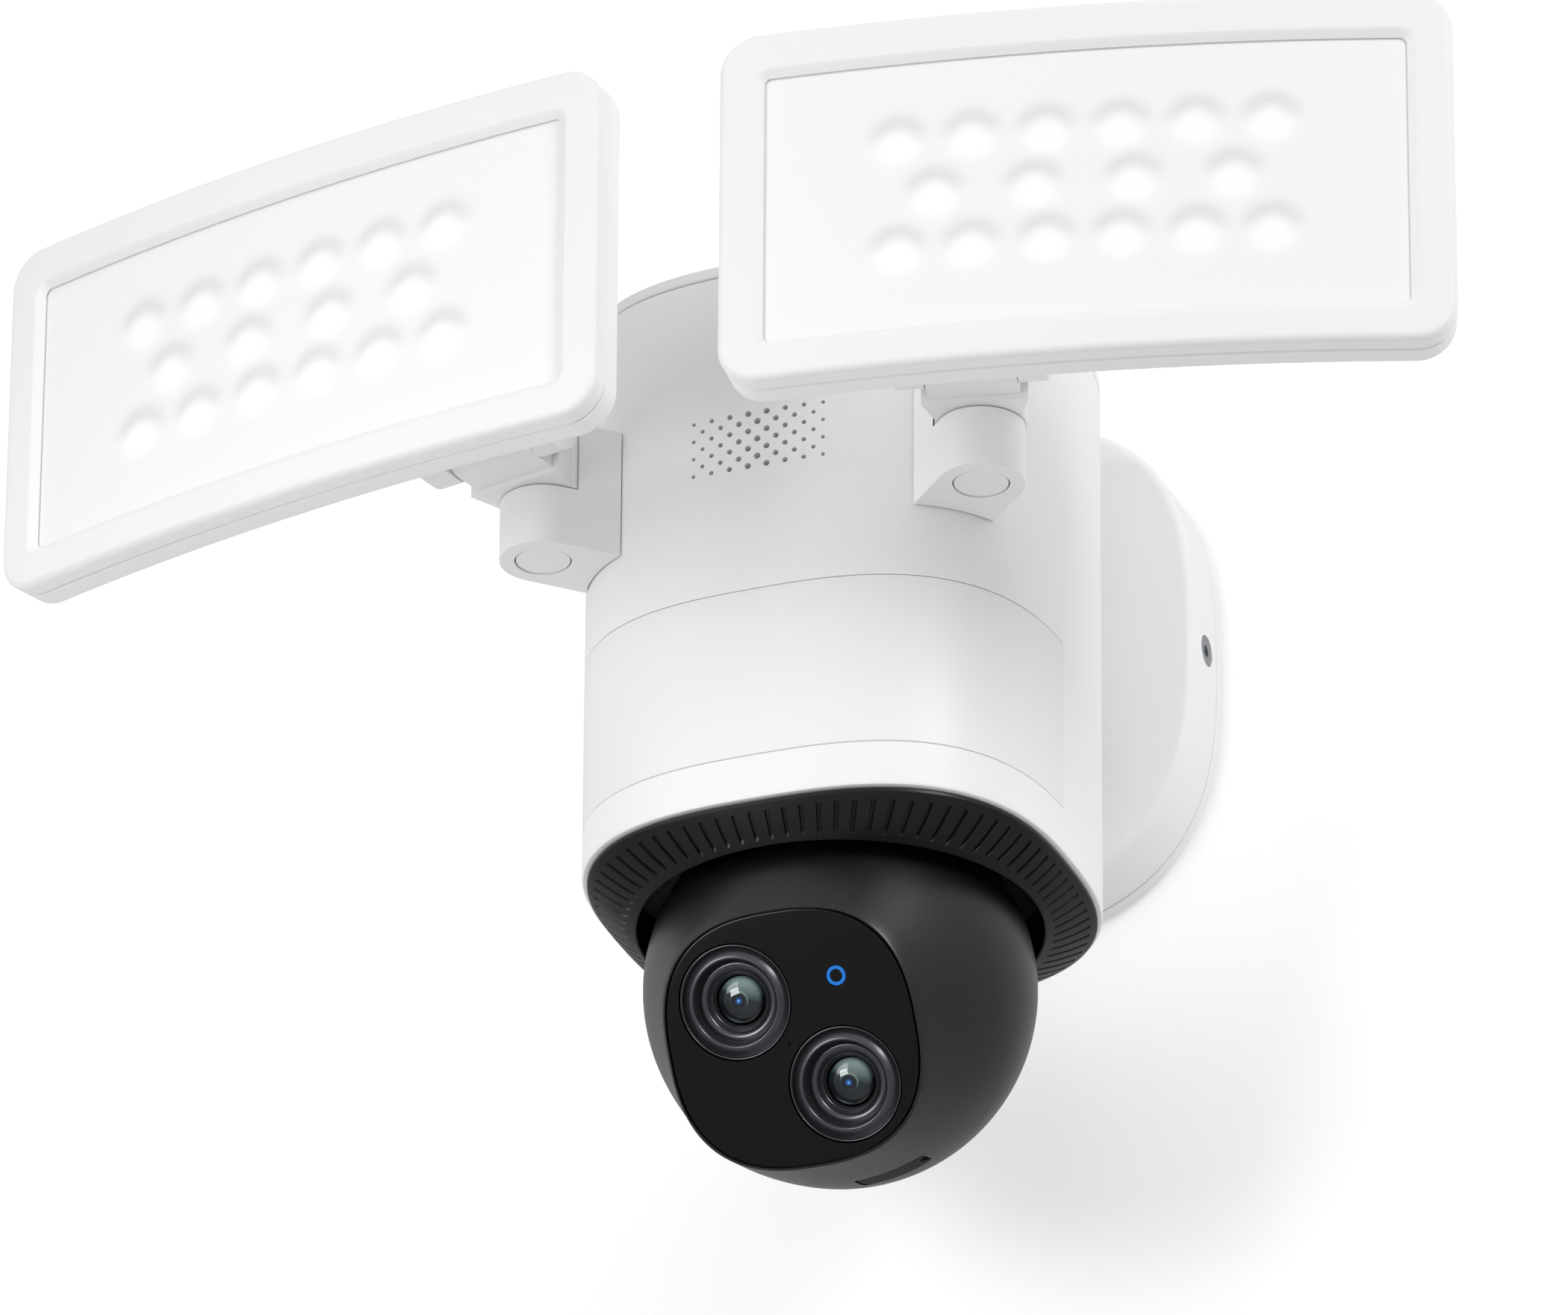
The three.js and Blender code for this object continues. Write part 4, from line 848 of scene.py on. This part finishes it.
def makeKnuckle(label, place):
    half, root, wide, gap = hinge["knuckleHalf"], hinge["knuckleRoot"], hinge["flare"], hinge["gap"]
    forward, pinZ, nose = hinge["pinForward"], hinge["pinZ"], hinge["earRadius"] - hinge["gap"]
    z0, z1 = hinge["notchFloor"] + gap, pinZ + nose
    flareEnd = forward - hinge["earRadius"] - 0.6
    knuckle = makeObject("swivelKnuckle_" + label, *rod("z", hinge["notchRadius"] - 0.35, z0, z1, sides=96),
                         place)
    flare = np.array([(-root, 0), (root, 0), (wide, -flareEnd), (-wide, -flareEnd)])
    tongue = np.array([(1 - flareEnd, pinZ - nose), (1 - flareEnd, z1)] + [
        (-forward - nose * math.sin(a), pinZ + nose * math.cos(a)) for a in np.linspace(0, math.pi, 32)])
    combine(knuckle, [
        makeObject("flareTool", *prism(flare, z0, z1), place),
        makeObject("tongueTool", *alongX(tongue, -half, half), place),
        makeObject("spigotTool", *rod("z", hinge["spigotRadius"], hinge["armBottom"] + 5, z0 + 1, sides=48),
                   place),
    ], "UNION")
    combine(knuckle, [pinTool(place)])
    soften(knuckle, hinge["hingeEdge"])
    finishPiece(knuckle, mouldedAsa, "swivel_" + label, ["swivel_knuckle_" + label])


def makeBracket(label, place):
    radius, forward, pinZ = hinge["earRadius"], hinge["pinForward"], hinge["pinZ"]
    inner, outer = hinge["earInner"], hinge["earOuter"]
    low, top = pinZ - radius, pinZ + radius + hinge["plateRise"]
    back, front = hinge["backY"], hinge["backY"] + hinge["plateThickness"]
    plate = np.array([(back, low), (front, low), (front, top), (back, top)])
    bracket = makeObject("hingeBracket_" + label, *alongX(plate, -outer, outer), place)
    nose = [(-forward + radius * math.cos(a), pinZ + radius * math.sin(a))
            for a in np.linspace(-math.pi / 2, math.pi / 2, 32)]
    ear = np.array([(back + 1, low)] + nose + [(back + 1, top - 2)])
    combine(bracket, [
        makeObject("earTool", *alongX(ear, inner, outer), place),
        makeObject("earTool", *alongX(ear, -outer, -inner), place),
    ], "UNION")
    combine(bracket, [pinTool(place)])
    soften(bracket, hinge["hingeEdge"])
    finishPiece(bracket, mouldedAsa, "lamp_" + label, ["hinge_bracket_" + label])


# lamp heads, built flat and then bent about an upright axis behind them

lamp = {
    "halfW": 80.3, "halfH": 42.95, "corner": 9.0, "bend": 596.0, "forward": 58.7, "outboard": 29.4, "z": 26.7,
    "bezelDepth": 5.0, "depth": 12.0, "frontEdge": 1.7, "backEdge": 2.4, "wall": 2.0,
    "windowW": 70.3, "windowH": 32.7, "windowShift": -0.8, "windowCorner": 1.6,
    "diffuserDepth": 1.9, "diffuserThickness": 1.8, "rebate": 2.2,
    "sheetColumns": 150, "sheetRows": 72, "coverInset": 8.0,
    "pitchX": 16.3, "pitchZ": 13.5, "humpW": 30.0, "humpH": 18.0, "humpZ": 17.05,
    "hump": [(0, -1), (0.4, 3), (1.2, 6.4), (1.7, 7.4), (2.7, 8)],  # inset, height above the lamp's back
}


def roundedOutline(halfW, halfH, corner, longSteps=26, shortSteps=14, arcSteps=12):
    corner = max(corner, 0.05)
    arcs = []
    for k, (sx, sz) in enumerate(((1, 1), (-1, 1), (-1, -1), (1, -1))):
        a = math.pi / 2 * (k + np.arange(arcSteps + 1) / arcSteps)
        centre = np.array([sx * (halfW - corner), sz * (halfH - corner)])
        arcs.append(centre + corner * np.c_[np.cos(a), np.sin(a)])
    points = []
    for k, arc in enumerate(arcs):
        t = np.arange(1, (longSteps, shortSteps)[k % 2])[:, None] / (longSteps, shortSteps)[k % 2]
        points += [arc, arc[-1] + (arcs[(k + 1) % 4][0] - arc[-1]) * t]
    return np.vstack(points)


def bent(side, across, up, depth):
    radius = lamp["bend"] - depth
    angle = across / lamp["bend"]
    x = side * lamp["outboard"] + radius * np.sin(angle)
    y = -lamp["forward"] + lamp["bend"] - radius * np.cos(angle)
    return np.c_[x, y, lamp["z"] + up]


def domePlaces():
    rows = [((i - 2.5) * lamp["pitchX"], row * lamp["pitchZ"]) for row in (1, -1) for i in range(6)]
    return rows + [((i - 1.5) * lamp["pitchX"] * 4 / 3, 0.0) for i in range(4)]


# painted shade and highlight of the domes behind the sheet: a dark crescent above each dome, a bright patch
# just below its middle
def paintedDomeShading(across, up):
    shade = np.full(across.shape, 0.80)
    for x, z in domePlaces():
        dx, dz = across - x, up - z
        away = np.hypot(dx, dz)
        paintedCrescent = np.exp(-((away - 5.0) / 2.2) ** 2) * np.clip((dz + 1.2) / 4.5, 0, 1)
        shade -= 0.36 * paintedCrescent
        shade += 0.34 * np.exp(-((dx / 4.6) ** 2 + ((dz + 1.6) / 3.8) ** 2) ** 1.3)
    return np.clip(shade, 0, 1)


def lampRing(side, inset, depth):
    plan = roundedOutline(lamp["halfW"] - inset, lamp["halfH"] - inset, lamp["corner"] - inset)
    return bent(side, plan[:, 0], plan[:, 1], depth)


def windowRing(side, grow, depth):
    plan = roundedOutline(lamp["windowW"] + grow, lamp["windowH"] + grow, lamp["windowCorner"] + grow)
    return bent(side, plan[:, 0], plan[:, 1] + lamp["windowShift"], depth)


def makeBezel(label, side, place):
    deep, e, seat = lamp["bezelDepth"], lamp["frontEdge"], lamp["diffuserDepth"] - 0.3
    outside = [(2.2, deep), (0.3, deep), (0.0, deep - 0.3)]
    outside += [(e * (1 - math.cos(a)), e - e * math.sin(a)) for a in quarterTurn(7)] + [(3.0, 0.0)]
    # the opening slopes in to the window, then steps back behind it
    inside = [(2.2, 0.0), (1.8, 0.1), (1.2, 0.45), (0.45, 1.0), (0.0, 1.3), (0.0, seat),
              (lamp["rebate"], seat),
              (lamp["rebate"], deep)]
    rings = [lampRing(side, inset, depth) for inset, depth in outside]
    rings += [windowRing(side, grow, depth) for grow, depth in inside]
    bezel = makeObject("lampBezel_" + label, *skin(rings, closed=True), place)
    finishPiece(bezel, mouldedAsa, "lamp_" + label, ["lamp_bezel_" + label], sharp=40)


def sheetFaces(columns, rows):
    # two grids of points, front then back, joined along their edges
    size = columns * rows
    faces = []
    for i in range(columns - 1):
        for j in range(rows - 1):
            a, b = i * rows + j, (i + 1) * rows + j
            faces += [(a, b, b + 1, a + 1), (size + a, size + a + 1, size + b + 1, size + b)]
    edges = [(i * rows + j, (i + 1) * rows + j) for i in range(columns - 1) for j in (0, rows - 1)]
    edges += [(i * rows + j, i * rows + j + 1) for j in range(rows - 1) for i in (0, columns - 1)]
    return faces + [(a, b, b + size, a + size) for a, b in edges]


def makeDiffuser(label, side, place):
    # a grid fine enough for the domes' painted shading to stay smooth
    columns, rows = lamp["sheetColumns"], lamp["sheetRows"]
    halfW, halfH = lamp["windowW"] + lamp["rebate"] - 0.3, lamp["windowH"] + lamp["rebate"] - 0.3
    u, v = np.meshgrid(np.linspace(-halfW, halfW, columns), np.linspace(-halfH, halfH, rows), indexing="ij")
    u, v = u.ravel(), v.ravel()
    layers = [bent(side, u, v + lamp["windowShift"], lamp["diffuserDepth"] + back)
              for back in (0, lamp["diffuserThickness"])]
    sheet = makeObject("lampDiffuser_" + label, np.vstack(layers), sheetFaces(columns, rows), place)
    shade = sheet.data.attributes.new("paintedDomeShading", "FLOAT", "POINT")
    shade.data.foreach_set("value", np.tile(paintedDomeShading(u, v), 2))
    finishPiece(sheet, opalPolycarbonate, "lamp_" + label, ["lamp_diffuser_" + label],
                flatten=False)


def makeRearShell(label, side, place):
    b, start, end, inset = lamp["backEdge"], lamp["bezelDepth"] + 0.3, lamp["depth"], lamp["coverInset"]
    inside = end - lamp["wall"]
    profile = [(lamp["wall"], start), (0.3, start), (0.0, start + 0.3)]
    profile += [(b * (1 - math.cos(a)), end - b + b * math.sin(a)) for a in quarterTurn(7)]
    profile += [(inset, end), (inset, inside), (lamp["wall"] + 0.6, inside)]
    rings = [lampRing(side, shrink, depth) for shrink, depth in profile]
    shell = makeObject("lampRearShell_" + label, *skin(rings, closed=True), place)
    cover = bentSlab(side, lamp["halfW"] - inset + 0.1, lamp["halfH"] - inset + 0.1, inside, end)
    humpRings = []
    for shrink, height in lamp["hump"]:
        plan = squircle(lamp["humpW"] - shrink, lamp["humpH"] - shrink, 5, 96)
        humpRings.append(upright(plan + np.array([0, lamp["humpZ"]]), end - lamp["forward"] + height))
    combine(shell, [makeObject("coverTool", *cover, place), makeObject("humpTool", *skin(humpRings), place)],
            "UNION")
    finishPiece(shell, mouldedAsa, "lamp_" + label, ["lamp_rear_shell_" + label], sharp=40)


def bentSlab(side, halfW, halfH, front, back, columns=48):
    rings = []
    for across in np.linspace(-halfW, halfW, columns):
        up = np.array([-halfH, halfH, halfH, -halfH])
        depth = np.array([front, front, back, back])
        rings.append(bent(side, np.full(4, across), up, depth))
    return skin(rings)


for label, side in (("right", 1), ("left", -1)):
    swivel = Matrix.Translation((side * hinge["swivelX"] * mm, hinge["swivelY"] * mm, 0))
    makeArm(label, swivel @ Matrix.Rotation(math.radians(-45 if side > 0 else -135), 4, "Z"))
    lampPlace = swivel @ Matrix.Rotation(math.radians(side * hinge["yaw"]), 4, "Z")
    for make in (makeKnuckle, makeBracket):
        make(label, lampPlace)
    for make in (makeBezel, makeDiffuser, makeRearShell):
        make(label, side, lampPlace)
    print("lamp built:", label)


# room, light and camera

# metres and watts from here on
stage = {"wall": 6.0, "wallY": 0.0004, "wallPaint": "#EDEDED", "wallGlow": 0.34, "floor": 8.0,
         "floorZ": -1.75,
         "floorPaint": "#B4B5B7"}
sky = {"below": 0.38, "above": 1.0, "strength": 0.58}
lights = {
    "leftBox": {"at": (-0.9, -1.6, 0.1), "aim": (0, -0.1, -0.02), "size": (1.0, 1.0), "power": 8.5},
    "rightBox": {"at": (1.38, -1.1, 0.58), "aim": (0, -0.1, -0.02), "size": (0.5, 0.7), "power": 12},
    "lowCard": {"at": (-0.20, -0.50, -0.215), "aim": (0, -0.115, -0.13), "size": (0.16, 0.12), "power": 0.45},
}
view = {"azimuth": 21.152, "rise": 27.696, "roll": 0.369, "across": -0.012343, "up": 0.073077, "away": 2.9615,
        "lens": 310.95}


def makeStage():
    # a white wall that is only there from the front, and a pale floor well below
    half = stage["wall"] / 2
    corners = (np.array([(-1, 0, -1), (1, 0, -1), (1, 0, 1), (-1, 0, 1)]) * half
               + np.array([0, stage["wallY"], 0]))
    wall = makeObject("wall", corners / mm, [(0, 1, 2, 3)])
    paint, tree, shader = startMaterial("mattEmulsion", Roughness=0.9,
                                        Base_Color=hexColour(stage["wallPaint"]),
                                        Specular_IOR_Level=0.0)
    facing = addNode(tree, "ShaderNodeNewGeometry").outputs["Backfacing"]
    clear = addNode(tree, "ShaderNodeBsdfTransparent")
    glow = addNode(tree, "ShaderNodeEmission", {"Color": hexColour("#FFFFFF"), "Strength": stage["wallGlow"]})
    lit = addNode(tree, "ShaderNodeAddShader", links={0: shader.outputs["BSDF"], 1: glow.outputs["Emission"]})
    mix = addNode(tree, "ShaderNodeMixShader", links={0: facing, 1: lit.outputs[0], 2: clear.outputs[0]})
    tree.links.new(mix.outputs[0], tree.nodes["Material Output"].inputs["Surface"])
    wall.data.materials.append(paint)
    if wall.data.polygons[0].normal.y > 0:
        wall.data.flip_normals()
    # dark mouldings don't mirror the bright wall at their edges
    wall.visible_glossy = False

    reach = stage["floor"] / 2
    corners = (np.array([(-1, -1, 0), (1, -1, 0), (1, 1, 0), (-1, 1, 0)]) * reach
               + np.array([0, 0, stage["floorZ"]]))
    floor = makeObject("floor", corners / mm, [(0, 1, 2, 3)])
    floor.data.materials.append(
        startMaterial("paleFloor", Roughness=0.8, Base_Color=hexColour(stage["floorPaint"]))[0])


def makeSky():
    world = bpy.data.worlds.new("studio")
    bpy.context.scene.world = world
    world.use_nodes = True
    tree = world.node_tree
    background = tree.nodes["Background"].inputs
    way = addNode(tree, "ShaderNodeTexCoord").outputs["Generated"]
    rise = addNode(tree, "ShaderNodeSeparateXYZ", links={"Vector": way})
    grey = addNode(tree, "ShaderNodeMapRange",
                   {"From Min": -1.0, "From Max": 0.6, "To Min": sky["below"], "To Max": sky["above"]},
                   {"Value": rise.outputs["Z"]})
    tree.links.new(grey.outputs["Result"], background["Color"])
    background["Strength"].default_value = sky["strength"]


def makeLight():
    for name, light in lights.items():
        lightData = bpy.data.lights.new(name, "AREA")
        lightData.shape = "RECTANGLE"
        lightData.size, lightData.size_y = light["size"]
        lightData.energy = light["power"]
        made = bpy.data.objects.new(name, lightData)
        bpy.context.scene.collection.objects.link(made)
        made.location = light["at"]
        made.rotation_mode = "QUATERNION"
        made.rotation_quaternion = (Vector(light["aim"]) - Vector(light["at"])).to_track_quat("-Z", "Y")
        made.visible_camera = False


def makeCamera():
    azimuth, rise, roll = (math.radians(view[key]) for key in ("azimuth", "rise", "roll"))
    right = Vector((math.cos(azimuth), math.sin(azimuth), 0))
    forward = Vector((-math.sin(azimuth) * math.cos(rise), math.cos(azimuth) * math.cos(rise),
                      math.sin(rise)))
    up = right.cross(forward)
    turnedRight = right * math.cos(roll) + up * math.sin(roll)
    turnedUp = up * math.cos(roll) - right * math.sin(roll)
    centre = Vector((0, ball["axisY"] * mm, ball["centreZ"] * mm))
    place = centre + turnedRight * view["across"] + turnedUp * view["up"] - forward * view["away"]
    cameraData = bpy.data.cameras.new("studioCamera")
    cameraData.sensor_fit = "HORIZONTAL"
    cameraData.sensor_width = 36.0
    cameraData.lens = view["lens"]
    cameraData.clip_start, cameraData.clip_end = 0.05, 20
    made = bpy.data.objects.new("studioCamera", cameraData)
    bpy.context.scene.collection.objects.link(made)
    turn = Matrix((turnedRight, turnedUp, -forward)).transposed()
    made.matrix_world = Matrix.Translation(place) @ turn.to_4x4()
    bpy.context.scene.camera = made


makeStage()
makeSky()
makeLight()
makeCamera()
bpy.context.scene.view_settings.view_transform = "Standard"
print("stage, light and camera ready")
